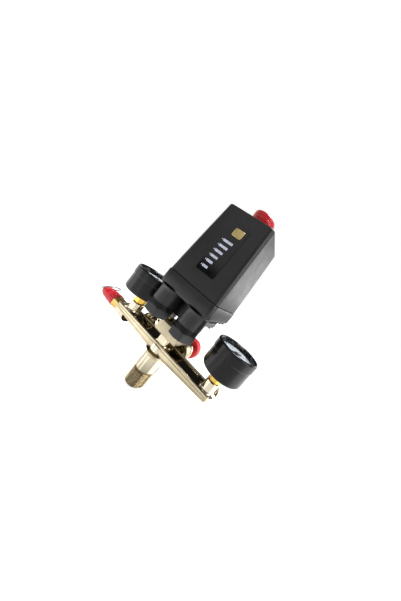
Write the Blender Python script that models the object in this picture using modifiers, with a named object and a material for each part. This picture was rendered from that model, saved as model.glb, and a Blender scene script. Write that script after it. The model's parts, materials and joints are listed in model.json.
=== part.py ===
"""Air-compressor pressure switch on its manifold, with regulator, two gauges and safety valve.
World frame: +X to the right gauge, +Y to the rear (regulator side), +Z up to the knob. The origin is the centre of the lower end of the threaded stud."""

from math import atan, cos, pi, radians, sin

import bmesh
import bpy
from mathutils import Matrix, Vector

MM = 0.001
GAP = 0.3  # between touching pieces, mm

# Switch housing, mm
COVER_HALF_X, COVER_HALF_Y = 30.0, 28.5
COVER_TOP_HALF_X, COVER_TOP_HALF_Y = 25.6, 25.0
SKIRT_BOTTOM, SEAM, COVER_TOP = 104.0, 118.5, 198.0
WALL = 2.2
GLAND_X, GLAND_Y, GLAND_R = 17.0, -19.0, 11.5
GLAND_BORE = 7.6

# Manifold, mm
BAR_HALF, BAR_Y = 70.0, 10.0
BAR_TOP, BAR_BOTTOM, BAR_END_BOTTOM = 51.5, 41.0, 44.2
CHANNEL = 1.4
PASSAGE_Z = 47.0
STUD_R, STUD_THREAD, STUD_PLAIN_R = 10.4, 17.5, 11.2
STUD_BORE = 5.0
REG_X, REG_Z = 9.5, 48.5
RELIEF_Z = 43.5
GAUGE_X = {"right": 63.0, "left": -57.0}
OUTLET_RIGHT = (64.0, 48.0)
OUTLET_LEFT = (-40.0, 49.0)

# Diaphragm and lever, mm
DIA_Y = 8.0
LEVER_Z, LEVER_HINGE_Y = 114.0, 24.7
PIN_X, PIN_Y = -13.0, -1.5
OFF_HINGE_X, OFF_Z = -22.7, 122.75

for item in list(bpy.data.objects):
    bpy.data.objects.remove(item, do_unlink=True)
scene = bpy.context.scene
scene.unit_settings.system = "METRIC"
scene.unit_settings.scale_length = 1.0

parts = bpy.data.collections.new("pressure_switch")
cutters = bpy.data.collections.new("cutters")
scene.collection.children.link(parts)
scene.collection.children.link(cutters)
cutters.hide_render = True

COLOURS = {
    "abs_black": ((0.022, 0.022, 0.023), 0.0, 0.45),
    "label_gloss": ((0.01, 0.01, 0.012), 0.0, 0.15),
    "nylon_black": ((0.03, 0.03, 0.032), 0.0, 0.5),
    "rubber": ((0.02, 0.02, 0.02), 0.0, 0.8),
    "red_plastic": ((0.6, 0.02, 0.025), 0.0, 0.35),
    "nickel": ((0.62, 0.55, 0.42), 1.0, 0.22),
    "brass": ((0.75, 0.52, 0.2), 1.0, 0.25),
    "steel_zinc": ((0.6, 0.6, 0.62), 1.0, 0.3),
    "spring_steel": ((0.45, 0.45, 0.46), 1.0, 0.3),
    "copper": ((0.8, 0.42, 0.28), 1.0, 0.3),
    "phenolic": ((0.18, 0.08, 0.04), 0.0, 0.5),
    "glass": ((0.85, 0.87, 0.88), 0.0, 0.05),
    "dial_white": ((0.75, 0.75, 0.76), 0.0, 0.4),
    "pointer_black": ((0.01, 0.01, 0.01), 0.0, 0.4),
}


def material(obj, kind):
    mat = bpy.data.materials.new(obj.name)
    mat.use_nodes = True
    shader = mat.node_tree.nodes["Principled BSDF"]
    colour, metal, rough = COLOURS[kind]
    shader.inputs["Base Color"].default_value = (*colour, 1)
    shader.inputs["Metallic"].default_value = metal
    shader.inputs["Roughness"].default_value = rough
    mat.diffuse_color = (*colour, 1)
    obj.data.materials.append(mat)


def place(name, mesh, kind, at, cutter):
    obj = bpy.data.objects.new(name, mesh)
    obj.location = at * MM
    (cutters if cutter else parts).objects.link(obj)
    if cutter:
        obj.hide_render = True
        obj.display_type = "WIRE"
    else:
        material(obj, kind)
    return obj


def finish(name, bm, kind, home=None, smooth=35, cutter=False):
    """Scales the mesh from mm to metres and puts the object's origin at home."""
    at = Vector(home or (0, 0, 0))
    bmesh.ops.remove_doubles(bm, verts=bm.verts, dist=0.0005)
    bmesh.ops.recalc_face_normals(bm, faces=bm.faces)
    bmesh.ops.transform(bm, matrix=Matrix.Scale(MM, 4) @ Matrix.Translation(-at), verts=bm.verts)
    mesh = bpy.data.meshes.new(name)
    for face in bm.faces:
        face.smooth = smooth > 0
    for edge in bm.edges:
        if smooth > 0 and edge.is_manifold and edge.calc_face_angle(0) > radians(smooth):
            edge.smooth = False
    bm.to_mesh(mesh)
    bm.free()
    return place(name, mesh, kind, at, cutter)


AXES = {
    "z": Matrix.Identity(4),
    "y": Matrix.Rotation(-pi / 2, 4, "X"),
    "x": Matrix.Rotation(pi / 2, 4, "Y"),
    "-x": Matrix.Rotation(-pi / 2, 4, "Y"),
}


def circle(r, h, n):
    return [(r * cos(2 * pi * i / n), r * sin(2 * pi * i / n), h) for i in range(n)]


def hexagon(af, h, n):
    """n points round a hexagon, n a multiple of 6, with a corner on +X."""
    out = []
    for i in range(n):
        a = 2 * pi * i / n
        out.append((a, af / 2 / cos((a % (pi / 3)) - pi / 6)))
    return [(r * cos(a), r * sin(a), h) for a, r in out]


def rounded(hx, hy, r, h, n, cx=0.0, cy=0.0):
    """n points round a rectangle with rounded corners, n a multiple of 4."""
    out, k = [], n // 4
    for q, (sx, sy) in enumerate(((1, 1), (-1, 1), (-1, -1), (1, -1))):
        for i in range(k):
            a = pi / 2 * (q + i / (k - 1))
            out.append((cx + sx * (hx - r) + r * cos(a), cy + sy * (hy - r) + r * sin(a), h))
    return out


def corner_circle(r, h, n, cx=0.0, cy=0.0):
    """A circle whose n points pair with those of a rounded rectangle."""
    out, k = [], n // 4
    for q in range(4):
        for i in range(k):
            a = pi / 2 * (q + (i + 0.5) / k)
            out.append((cx + r * cos(a), cy + r * sin(a), h))
    return out


def loft(name, loops, kind, home=None, axis="z", base=(0, 0, 0), ring=False, smooth=35, cutter=False):
    """A loft between unlike sections, such as a hexagon and a circle. A ring closes on itself; otherwise both ends are filled."""
    bm = bmesh.new()
    turn = Matrix.Translation(Vector(base)) @ AXES[axis]
    rows = [[bm.verts.new(turn @ Vector(p)) for p in loop] for loop in loops]
    pairs = list(zip(rows, rows[1:])) + ([(rows[-1], rows[0])] if ring else [])
    for a, b in pairs:
        for i in range(len(a)):
            j = (i + 1) % len(a)
            bm.faces.new((a[i], a[j], b[j], b[i]))
    if not ring:
        bm.faces.new(rows[0][::-1])
        bm.faces.new(rows[-1])
    return finish(name, bm, kind, home, smooth, cutter)


def turned(name, profile, kind, n=20, axis="z", base=(0, 0, 0), home=None, ring=False, cutter=False, smooth=35):
    """A turned piece: (radius, height) points in mm, swept round the axis by a Screw modifier.

    A ring's profile is a closed outline clear of the axis. Any other is closed onto the axis at both ends."""
    area = sum(p[0] * q[1] - q[0] * p[1] for p, q in zip(profile, profile[1:] + profile[:1]))
    points = list(profile)
    if ring:
        if area > 0:
            points.reverse()
    else:
        if points[0][1] < points[-1][1]:
            points.reverse()
        points = [(0, points[0][1])] + points + [(0, points[-1][1])]
    outline = bpy.data.meshes.new(name + "_profile")
    edges = [(i, i + 1) for i in range(len(points) - 1)] + ([(len(points) - 1, 0)] if ring else [])
    outline.from_pydata([(r * MM, 0, h * MM) for r, h in points], edges, [])
    guide = bpy.data.objects.new(name + "_profile", outline)
    cutters.objects.link(guide)
    sweep = guide.modifiers.new("sweep", "SCREW")
    sweep.axis = "Z"
    sweep.steps = sweep.render_steps = n
    sweep.use_merge_vertices = True
    sweep.merge_threshold = 0.000001
    bpy.context.view_layer.update()
    mesh = bpy.data.meshes.new_from_object(guide.evaluated_get(bpy.context.evaluated_depsgraph_get()))
    bpy.data.objects.remove(guide, do_unlink=True)
    if not ring:  # each end becomes one flat face
        bm = bmesh.new()
        bm.from_mesh(mesh)
        bmesh.ops.dissolve_verts(bm, verts=[v for v in bm.verts if v.co.xy.length < 1e-7])
        bm.to_mesh(mesh)
        bm.free()
    at = Vector(home or base)
    mesh.transform(Matrix.Translation((Vector(base) - at) * MM) @ AXES[axis])
    mesh.shade_smooth()
    mesh.set_sharp_from_angle(angle=radians(smooth))
    return place(name, mesh, kind, at, cutter)


def block(name, x, y, z, kind, bevel=0.0, seg=2, cutter=False, home=None):
    bm = bmesh.new()
    bmesh.ops.create_cube(bm, size=1)
    size = Vector((x[1] - x[0], y[1] - y[0], z[1] - z[0]))
    mid = Vector((x[0] + x[1], y[0] + y[1], z[0] + z[1])) / 2
    bmesh.ops.transform(bm, matrix=Matrix.Translation(mid) @ Matrix.Diagonal((*size, 1)), verts=bm.verts)
    if bevel:
        bmesh.ops.bevel(bm, geom=list(bm.edges), offset=bevel, segments=seg, affect="EDGES", profile=0.5)
    return finish(name, bm, kind, home, 35, cutter)


def boolean(obj, other, operation):
    step = obj.modifiers.new(f"{operation}_{other.name}", "BOOLEAN")
    step.operation = operation
    step.solver = "EXACT"
    step.object = other


def join(obj, *others):
    for other in others:
        boolean(obj, other, "UNION")


def cut(obj, *others):
    for other in others:
        boolean(obj, other, "DIFFERENCE")


def rod(name, r, a, b, axis="z", base=(0, 0, 0), n=16, cutter=True, kind="nickel"):
    return turned(name, [(r, a), (r, b)], kind, n, axis, base, cutter=cutter)


def coil(name, radius, wire, start, end, turns, axis="z", base=(0, 0, 0), kind="spring_steel", per_turn=8, home=None):
    """A compression spring with closed end turns, as a bevelled path."""
    at = Vector(home or base)
    turn = Matrix.Translation(Vector(base) - at) @ AXES[axis]
    curve = bpy.data.curves.new(name, "CURVE")
    curve.dimensions = "3D"
    curve.bevel_depth = wire * MM
    curve.bevel_resolution = 2
    curve.use_fill_caps = True
    line = curve.splines.new("POLY")
    count = int(turns * per_turn)
    line.points.add(count)
    low, high = start + wire, end - wire
    for i in range(count + 1):
        t = i / count
        rise = 0.5 - 0.5 * cos(pi * t) if turns < 3 else t
        p = turn @ Vector((radius * cos(2 * pi * turns * t), radius * sin(2 * pi * turns * t), low + (high - low) * rise))
        line.points[i].co = (*(p * MM), 1)
    obj = bpy.data.objects.new(name, curve)
    obj.location = at * MM
    parts.objects.link(obj)
    material(obj, kind)
    return obj


def tube(name, points, r, kind, home, closed=False, resolution=2):
    at = Vector(home)
    curve = bpy.data.curves.new(name, "CURVE")
    curve.dimensions = "3D"
    curve.bevel_depth = r * MM
    curve.bevel_resolution = resolution
    curve.use_fill_caps = not closed
    line = curve.splines.new("POLY")
    line.points.add(len(points) - 1)
    for i, p in enumerate(points):
        line.points[i].co = (*((Vector(p) - at) * MM), 1)
    line.use_cyclic_u = closed
    obj = bpy.data.objects.new(name, curve)
    obj.location = at * MM
    parts.objects.link(obj)
    material(obj, kind)
    return obj


# ---------------------------------------------------------------- cover
N = 24
low = SEAM + GAP
wall_loops = [
    rounded(COVER_HALF_X, COVER_HALF_Y, 4.5, low, N),
    rounded(COVER_TOP_HALF_X + 0.1, COVER_TOP_HALF_Y + 0.1, 4.5, COVER_TOP - 2.0, N),
    rounded(COVER_TOP_HALF_X - 0.4, COVER_TOP_HALF_Y - 0.4, 4.2, COVER_TOP - 0.6, N),
    rounded(COVER_TOP_HALF_X - 1.7, COVER_TOP_HALF_Y - 1.7, 3.7, COVER_TOP, N),
    corner_circle(9.4, COVER_TOP, N),
    corner_circle(9.4, COVER_TOP - WALL, N),
    rounded(COVER_TOP_HALF_X - 3.6, COVER_TOP_HALF_Y - 3.6, 3.0, COVER_TOP - WALL, N),
    rounded(COVER_TOP_HALF_X - WALL, COVER_TOP_HALF_Y - WALL, 3.0, COVER_TOP - 4.0, N),
    rounded(COVER_HALF_X - WALL, COVER_HALF_Y - WALL, 3.0, low, N),
]
loft("cover", wall_loops, "abs_black", ring=True)

# The label plate lies on the sloped front face.
SLOPE = (COVER_HALF_Y - COVER_TOP_HALF_Y) / (COVER_TOP - SEAM)
LABEL_X, LABEL_Z = (-9.0, 11.5), (133.0, 184.5)
mid_z = sum(LABEL_Z) / 2
plate = block("label_plate", LABEL_X, (-0.3, 0.3), (LABEL_Z[0] - mid_z, LABEL_Z[1] - mid_z), "label_gloss")
plate.location = Vector((0, -(COVER_HALF_Y - SLOPE * (mid_z - SEAM)) - 0.5, mid_z)) * MM
plate.rotation_euler.x = -atan(SLOPE)

# ---------------------------------------------------------------- base housing
skirt = [
    rounded(COVER_HALF_X - 0.6, COVER_HALF_Y - 0.6, 4.2, SKIRT_BOTTOM, N),
    rounded(COVER_HALF_X + 0.5, COVER_HALF_Y + 0.5, 4.8, SKIRT_BOTTOM + 1.2, N),
    rounded(COVER_HALF_X + 0.6, COVER_HALF_Y + 0.6, 4.8, SEAM, N),
    rounded(COVER_HALF_X - WALL, COVER_HALF_Y - WALL, 3.0, SEAM, N),
    rounded(COVER_HALF_X - WALL, COVER_HALF_Y - WALL, 3.0, SKIRT_BOTTOM + 3.0, N),
]
base = loft("base_housing", skirt, "abs_black")
for side, sign in (("left", -1), ("right", 1)):
    at = (sign * GLAND_X, GLAND_Y, 0)
    join(
        base,
        turned(
            f"stub_{side}",
            [(9.3, 78.2), (9.3, 84.8), (GLAND_R - 1.2, 85.0), (GLAND_R - 0.6, 88.5), (GLAND_R, 88.9), (GLAND_R, 105.0)],
            "abs_black",
            20,
            base=at,
            cutter=True,
        ),
    )
join(base, block("stub_web", (-9.5, 9.5), (-13, -10), (85, 105), "abs_black", cutter=True))
join(base, block("diaphragm_seat", (-22, 22), (-6.4, 26), (99.2, 105), "abs_black", 1.0, 1, cutter=True))
for side, sign in (("left", -1), ("right", 1)):
    cut(base, rod(f"gland_bore_{side}", GLAND_BORE, 70, 120, base=(sign * GLAND_X, GLAND_Y, 0)))
cut(
    base,
    rod("piston_bore", 4.6, 90, 120, base=(0, DIA_Y, 0)),
    rod("piston_recess", 9.0, 98, 102.6, base=(0, DIA_Y, 0)),
    rod("pin_bore", 1.6, 90, 120, base=(PIN_X, PIN_Y, 0), n=10),
)
SCREW_AT = [(-18.6, -2.9), (18.6, -2.9), (18.6, 22.4), (-18.6, 22.4)]
for i, (x, y) in enumerate(SCREW_AT, 1):
    cut(base, rod(f"base_screw_hole_{i}", 2.3, 95, 103.4, base=(x, y, 0), n=10))

for side, sign in (("left", -1), ("right", 1)):
    at = (sign * GLAND_X, GLAND_Y, 0)
    loft(
        f"gland_nut_{side}",
        [
            hexagon(21.2, 76.2, 18),
            hexagon(22.2, 76.9, 18),
            hexagon(22.2, 84.5, 18),
            circle(9.6, 84.5, 18),
            circle(9.6, 77.9, 18),
            circle(6.2, 77.9, 18),
            circle(6.2, 76.2, 18),
        ],
        "nylon_black",
        base=at,
        ring=True,
    )
    turned(f"gland_seal_{side}", [(7.3, 78.3), (7.3, 87), (4.6, 87), (4.6, 78.3)], "rubber", 16, base=at, ring=True)

# ---------------------------------------------------------------- mechanism
frame_plate = block("mechanism_frame", (-19, 19), (3, 25.6), (107.3, 108.7), "steel_zinc")
join(
    frame_plate,
    block("frame_cheek_l", (-19, -17.6), (6, 25.6), (108, 119), "steel_zinc", cutter=True),
    block("frame_cheek_r", (17.6, 19), (6, 25.6), (108, 119), "steel_zinc", cutter=True),
    block("frame_rear", (-18, 18), (24.1, 25.6), (108, 119), "steel_zinc", cutter=True),
)
cut(
    frame_plate,
    rod("frame_piston_hole", 4.6, 100, 112, base=(0, DIA_Y, 0)),
    block("lever_slot", (-8.5, 8.5), (20, 30), (LEVER_Z - 1.9, LEVER_Z + 1.9), "steel_zinc", cutter=True),
)

post = block("lever_post", (-25.6, -21.9), (-3.6, 1.6), (107.3, 127), "phenolic", 0.4, 1)
cut(post, block("post_slot", (-26, -20), (-2.6, 0.6), (OFF_Z - 1.8, OFF_Z + 1.8), "phenolic", cutter=True))

terminal = block("terminal_block", (-25, 25), (-11.2, -4.1), (107.3, 111), "phenolic", 0.4, 1)
TERMINAL_X = (-21.0, -12.0, 12.0, 21.0)
for i, x in enumerate(TERMINAL_X, 1):
    cut(terminal, rod(f"terminal_hole_{i}", 1.9, 108.6, 115, base=(x, -7.6, 0), n=10))
    join(terminal, block(f"terminal_rib_{i}", (x * 1.0 - 5.2, x - 4.2), (-11.0, -4.3), (110, 114), "phenolic", cutter=True)) if x in (-12.0, 21.0) else None
    head = turned(
        f"terminal_screw_{i}",
        [(1.6, 108.9), (1.6, 111.3), (3.0, 111.3), (3.1, 113.0), (2.4, 113.8)],
        "brass",
        14,
        base=(x, -7.6, 0),
    )
    cut(head, block(f"terminal_slot_{i}", (x - 4, x + 4), (-8.0, -7.2), (113.1, 115), "brass", cutter=True))

bridge = block("contact_bridge", (-7, 7), (-9.4, -5.8), (112.0, 113.1), "copper", 0.2, 1)
join(
    bridge,
    rod("contact_tip_l", 1.2, 111.3, 112.4, base=(-5.2, -7.6, 0), n=12, kind="copper"),
    rod("contact_tip_r", 1.2, 111.3, 112.4, base=(5.2, -7.6, 0), n=12, kind="copper"),
)

# The lever turns on the rear edge of the frame; its arm lifts the contact bridge.
home = (0, LEVER_HINGE_Y, LEVER_Z)
lever = block("main_lever", (-14.5, 14.5), (3, 23.4), (LEVER_Z - 1, LEVER_Z + 1), "steel_zinc", 0.2, 1, home=home)
join(
    lever,
    block("lever_tongue", (-7.8, 7.8), (22, 25.3), (LEVER_Z - 0.8, LEVER_Z + 0.8), "steel_zinc", cutter=True),
    block("lever_arm", (3.4, 6.6), (-9, 4), (113.5, 114.9), "steel_zinc", cutter=True),
)
cut(lever, rod("lever_hole", 3.3, 110, 118, base=(0, 15.5, 0)))

coil("main_spring", 6.2, 0.9, 115.3, 147.6, 4.5, base=(0, 15.5, 0))
loft(
    "adjusting_screw",
    [circle(2.4, 109.0, 18), circle(2.4, 158.0, 18), hexagon(7, 158.2, 18), hexagon(7, 162.5, 18), hexagon(6, 163.2, 18)],
    "steel_zinc",
    base=(0, 15.5, 0),
)
loft(
    "spring_plate",
    [
        circle(2.7, 148.0, 18),
        circle(8.4, 148.0, 18),
        circle(8.4, 149.6, 18),
        hexagon(10, 149.6, 18),
        hexagon(10, 154, 18),
        circle(2.7, 154, 18),
    ],
    "steel_zinc",
    base=(0, 15.5, 0),
    ring=True,
)

# ---------------------------------------------------------------- diaphragm group
sheet = loft(
    "diaphragm",
    [rounded(21.4, 15.6, 2.5, 97.5, 24, 0, 9.8), rounded(21.4, 15.6, 2.5, 98.9, 24, 0, 9.8)],
    "rubber",
)
for i, (x, y) in enumerate(SCREW_AT, 1):
    cut(sheet, rod(f"sheet_hole_{i}", 2.3, 95, 103, base=(x, y, 0), n=10))
cut(sheet, rod("sheet_pin_hole", 1.6, 95, 103, base=(PIN_X, PIN_Y, 0), n=10))
turned(
    "piston",
    [(8.2, 99.2), (8.2, 100.9), (4.2, 101.2), (4.2, 110.6), (3.0, 112.7)],
    "phenolic",
    20,
    base=(0, DIA_Y, 0),
)
hub = block("hub", (-15, 15), (-11.5, 11.5), (61.0, 73.4), "nickel", 1.0, 2)
join(
    hub,
    turned("hub_column", [(9.4, 72), (8.4, 73.8), (8.4, 90), (12.5, 93)], "nickel", 16, base=(0, 3.0, 0), cutter=True),
    block("hub_flange", (-22, 22), (-6.4, 26), (91.8, 97.2), "nickel", 1.2, 2, cutter=True),
)
cut(
    hub,
    rod("hub_thread_bore", 8.15, 50, 66.4),
    rod("hub_bore", 2.5, 60, 95.6),
    rod("pressure_chamber", 13.0, 94.7, 100, base=(0, DIA_Y, 0)),
    rod("hub_pin_hole", 1.6, 90, 100, base=(PIN_X, PIN_Y, 0), n=10),
    rod("hub_valve_bore", 2.7, 67.0, 80, base=(PIN_X, PIN_Y, 0), n=10),
)
for i, (x, y) in enumerate(SCREW_AT, 1):
    cut(hub, rod(f"hub_hole_{i}", 2.3, 88, 100, base=(x, y, 0), n=10))
    loft(
        f"flange_screw_{i}",
        [
            hexagon(6.6, 88.6, 12),
            hexagon(7.2, 89.2, 12),
            hexagon(7.2, 91.5, 12),
            circle(1.95, 91.5, 12),
            circle(1.95, 103.0, 12),
        ],
        "steel_zinc",
        base=(x, y, 0),
    )

# ---------------------------------------------------------------- on/off control
turned(
    "on_off_knob",
    [
        (8.2, 214.6),
        (11.6, 213.9),
        (12.2, 213.0),
        (12.2, 211.6),
        (11.5, 210.7),
        (12.2, 209.8),
        (12.2, 208.4),
        (11.4, 207.2),
        (9.4, 204.0),
        (8.9, 201.2),
        (8.9, 189.0),
        (3.3, 189.0),
        (3.3, 201.0),
    ],
    "red_plastic",
    24,
)
turned("knob_shaft", [(1.2, 123.8), (1.2, 127.0), (3.0, 128.0), (3.0, 200.7)], "phenolic", 16)

home = (OFF_HINGE_X, PIN_Y + 0.5, OFF_Z)
off = block("off_lever", (-21.6, 2.6), (-3.4, 1.4), (OFF_Z - 0.75, OFF_Z + 0.75), "steel_zinc", 0.2, 1, home=home)
join(off, block("off_tongue", (-23.6, -21), (-2.3, 0.3), (OFF_Z - 0.75, OFF_Z + 0.75), "steel_zinc", cutter=True))

valve = loft(
    "unloader_body",
    [
        circle(2.4, 67.4, 18),
        circle(2.4, 73.7, 18),
        hexagon(7.4, 73.7, 18),
        hexagon(7.4, 76.4, 18),
        circle(3.0, 76.9, 18),
        circle(3.6, 78.6, 18),
        circle(3.0, 80.4, 18),
        circle(2.1, 81.4, 18),
        circle(2.1, 83.6, 18),
    ],
    "brass",
    base=(PIN_X, PIN_Y, 0),
)
cut(valve, rod("unloader_bore", 1.35, 69, 90, base=(PIN_X, PIN_Y, 0), n=10))
turned("unloader_pin", [(0.95, 73.5), (0.95, 121.7)], "brass", 12, base=(PIN_X, PIN_Y, 0), smooth=40)

# ---------------------------------------------------------------- manifold
bm = bmesh.new()
rows = []
for x, bottom in ((-BAR_HALF, BAR_END_BOTTOM), (-13, BAR_BOTTOM), (13, BAR_BOTTOM), (BAR_HALF, BAR_END_BOTTOM)):
    outline = [
        (-BAR_Y + 0.9, bottom),
        (BAR_Y - 0.9, bottom),
        (BAR_Y - 0.15, bottom + 0.9),
        (BAR_Y, BAR_TOP - 0.5),
        (BAR_Y - 0.5, BAR_TOP),
        (BAR_Y - 2.0, BAR_TOP),
        (BAR_Y - 2.5, BAR_TOP - CHANNEL),
        (-BAR_Y + 1.9, BAR_TOP - CHANNEL),
        (-BAR_Y + 1.4, BAR_TOP),
        (-BAR_Y + 0.5, BAR_TOP),
        (-BAR_Y, BAR_TOP - 0.5),
        (-BAR_Y + 0.15, bottom + 0.9),
    ]
    rows.append([bm.verts.new((x, y, z)) for y, z in outline])
for a, b in zip(rows, rows[1:]):
    for i in range(len(a)):
        j = (i + 1) % len(a)
        bm.faces.new((a[i], a[j], b[j], b[i]))
bm.faces.new(rows[0][::-1])
bm.faces.new(rows[-1])
manifold = finish("manifold_body", bm, "nickel")
join(
    manifold,
    turned(
        "stud",
        [(9.6, 0), (STUD_R, 0.9), (STUD_R, STUD_THREAD), (9.7, STUD_THREAD + 0.6), (9.7, STUD_THREAD + 1.6), (STUD_PLAIN_R, STUD_THREAD + 3), (STUD_PLAIN_R, 49.8)],
        "nickel",
        24,
        cutter=True,
    ),
    turned("upper_boss", [(9.2, 48.9), (9.2, 51.0), (7.8, 52.4), (7.8, 65.2), (7.2, 66.0)], "nickel", 16, cutter=True),
    turned("relief_boss", [(8.3, 58.5), (8.3, 69.6), (7.9, 70.0)], "nickel", 18, "-x", (0, 0, RELIEF_Z + 0.3), cutter=True),
    turned("end_boss", [(5.0, 60), (5.0, 69.9), (4.5, 70.4)], "nickel", 20, "x", (0, 0, PASSAGE_Z - 0.2), cutter=True),
    turned("reg_collar", [(12.0, 9.0), (12.0, 20.6), (11.5, 22.0)], "nickel", 20, "y", (REG_X, 0, REG_Z), cutter=True),
    turned(
        "outlet_right",
        [(8.0, 8), (8.0, 13.5), (6.4, 14.5), (6.4, 29.0), (6.0, 30.0)],
        "nickel",
        16,
        "y",
        (OUTLET_RIGHT[0], 0, OUTLET_RIGHT[1]),
        cutter=True,
    ),
    turned(
        "outlet_left",
        [(8.6, 8), (8.6, 15.0), (6.4, 16.0), (6.4, 31.0), (6.0, 32.0)],
        "nickel",
        16,
        "y",
        (OUTLET_LEFT[0], 0, OUTLET_LEFT[1]),
        cutter=True,
    ),
)
for side, gx in GAUGE_X.items():
    join(
        manifold,
        turned(f"gauge_boss_{side}", [(8.4, 48.9), (8.4, 50.6), (7.1, 52.0), (7.1, 61.2), (6.5, 62.0)], "nickel", 16, base=(gx, 0, 0), cutter=True),
    )
cut(
    manifold,
    rod("stud_bore", STUD_BORE, -1, 48.6, n=12),
    rod("boss_bore", 3.0, 46, 70, n=10),
    rod("tank_passage", 1.9, -63, REG_X - 2.5, "x", (0, 0, PASSAGE_Z), n=10),
    rod("reg_feed", 1.7, 0, 12.5, "y", (REG_X - 3.4, 0, PASSAGE_Z), n=10),
    rod("reg_return", 1.6, -0.5, 20, "y", (REG_X + 8.0, 0, PASSAGE_Z), n=10),
    rod("outlet_passage", 1.9, REG_X + 7.0, 67, "x", (0, 0, PASSAGE_Z), n=10),
    rod("end_plug_bore", 3.4, 66.0, 75, "x", (0, 0, PASSAGE_Z), n=10),
    rod("reg_chamber", 5.0, 10.6, 30, "y", (REG_X, 0, REG_Z), n=12),
    rod("reg_diaphragm_chamber", 9.2, 19.2, 30, "y", (REG_X, 0, REG_Z)),
    rod("relief_bore", 4.95, 61, 75, "-x", (0, 0, RELIEF_Z)),
    rod("outlet_right_bore", 4.2, 11, 40, "y", (OUTLET_RIGHT[0], 0, OUTLET_RIGHT[1]), n=12),
    rod("outlet_right_feed", 1.5, 0.2, 12, "y", (OUTLET_RIGHT[0], 0, PASSAGE_Z), n=10),
    rod("outlet_left_bore", 4.2, 11, 40, "y", (OUTLET_LEFT[0], 0, OUTLET_LEFT[1]), n=12),
    rod("outlet_left_feed", 1.5, 0.2, 12, "y", (OUTLET_LEFT[0], 0, PASSAGE_Z), n=10),
)
for side, gx in GAUGE_X.items():
    cut(manifold, rod(f"gauge_bore_{side}", 4.9, 52.6, 65, base=(gx, 0, 0), n=12), rod(f"gauge_feed_{side}", 1.5, 46.8, 53, base=(gx, 0, 0), n=10))

loft(
    "end_plug",
    [circle(3.1, 66.4, 18), circle(3.1, 70.2, 18), hexagon(3.2, 70.2, 18), hexagon(3.2, 68.6, 18)],
    "brass",
    axis="x",
    base=(0, 0, PASSAGE_Z),
)

# ---------------------------------------------------------------- regulator
R_AT = (REG_X, 0, REG_Z)
turned("regulator_diaphragm", [(10.9, 22.3), (10.9, 23.1)], "rubber", 24, "y", R_AT)
turned(
    "regulator_bonnet",
    [
        (7.2, 23.4),
        (11.6, 23.4),
        (11.6, 27.0),
        (10.6, 28.0),
        (9.2, 29.0),
        (9.2, 36.0),
        (5.4, 36.0),
        (5.4, 40.4),
        (3.3, 40.4),
        (3.3, 34.2),
        (7.2, 34.2),
    ],
    "nickel",
    20,
    "y",
    R_AT,
    ring=True,
)
LOBES = 24
turned(
    "regulator_knob",
    [
        (5.8, 36.5),
        (12.6, 36.5),
        (13.0, 37.2),
        (13.0, 45.2),
        (12.0, 46.5),
        (3.3, 46.5),
        (3.3, 41.0),
        (5.8, 41.0),
    ],
    "red_plastic",
    LOBES,
    "y",
    R_AT,
    home=(REG_X, 40, REG_Z),
    ring=True,
)
turned("regulator_screw", [(2.9, 27.4), (2.9, 45.6)], "steel_zinc", 16, "y", R_AT, home=(REG_X, 40, REG_Z))
turned(
    "spring_button",
    [(3.3, 31.2), (6.7, 31.2), (6.7, 32.6), (3.3, 32.6)],
    "steel_zinc",
    20,
    "y",
    R_AT,
    home=(REG_X, 31.9, REG_Z),
    ring=True,
)
coil("regulator_spring", 5.0, 0.7, 23.5, 30.8, 2.5, "y", R_AT)
turned("valve_seat", [(2.2, 16.4), (4.7, 16.4), (4.7, 18.8), (2.2, 18.8)], "brass", 20, "y", R_AT, ring=True)
turned("valve_poppet", [(3.4, 13.7), (3.6, 15.4), (2.6, 16.1), (1.2, 16.1), (1.2, 22.0)], "brass", 18, "y", R_AT, home=(REG_X, 15, REG_Z))
coil("poppet_spring", 2.6, 0.35, 10.75, 13.55, 2.5, "y", R_AT)

# ---------------------------------------------------------------- safety valve
V_AT = (0, 0, RELIEF_Z)
loft(
    "relief_body",
    [
        circle(2.0, 61.4, 18),
        circle(4.6, 61.4, 18),
        circle(4.6, 70.3, 18),
        hexagon(12.8, 70.3, 18),
        hexagon(13.4, 70.9, 18),
        hexagon(13.4, 81.4, 18),
        hexagon(12.8, 82.0, 18),
        circle(5.8, 82.0, 18),
        circle(5.8, 86.6, 18),
        circle(2.0, 86.6, 18),
    ],
    "brass",
    axis="-x",
    base=V_AT,
    ring=True,
)
turned(
    "relief_cap",
    [
        (6.1, 82.3),
        (7.4, 82.3),
        (7.6, 82.9),
        (7.6, 86.6),
        (7.1, 87.2),
        (7.1, 92.8),
        (6.8, 93.4),
        (6.6, 98.2),
        (5.6, 99.4),
        (5.3, 102.2),
        (4.4, 104.6),
        (1.9, 104.6),
        (1.9, 102.6),
        (4.5, 102.6),
        (4.6, 99.0),
        (5.4, 97.4),
        (6.1, 87.2),
    ],
    "red_plastic",
    20,
    "-x",
    V_AT,
    ring=True,
)
stem = turned(
    "relief_stem",
    [(3.2, 86.9), (4.6, 87.4), (4.6, 88.4), (1.5, 88.8), (1.5, 105.0), (1.9, 105.2), (1.9, 109.1), (1.3, 109.7)],
    "brass",
    20,
    "-x",
    V_AT,
    home=(-107.2, 0, RELIEF_Z),
)
cut(stem, rod("ring_hole", 0.85, -4, 4, "y", (-107.2, 0, RELIEF_Z), n=10))
coil("relief_spring", 3.6, 0.5, 88.7, 102.3, 3.5, "-x", V_AT)
RING_R, RING_DIR = 8.6, (0.809, 0.588)
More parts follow.
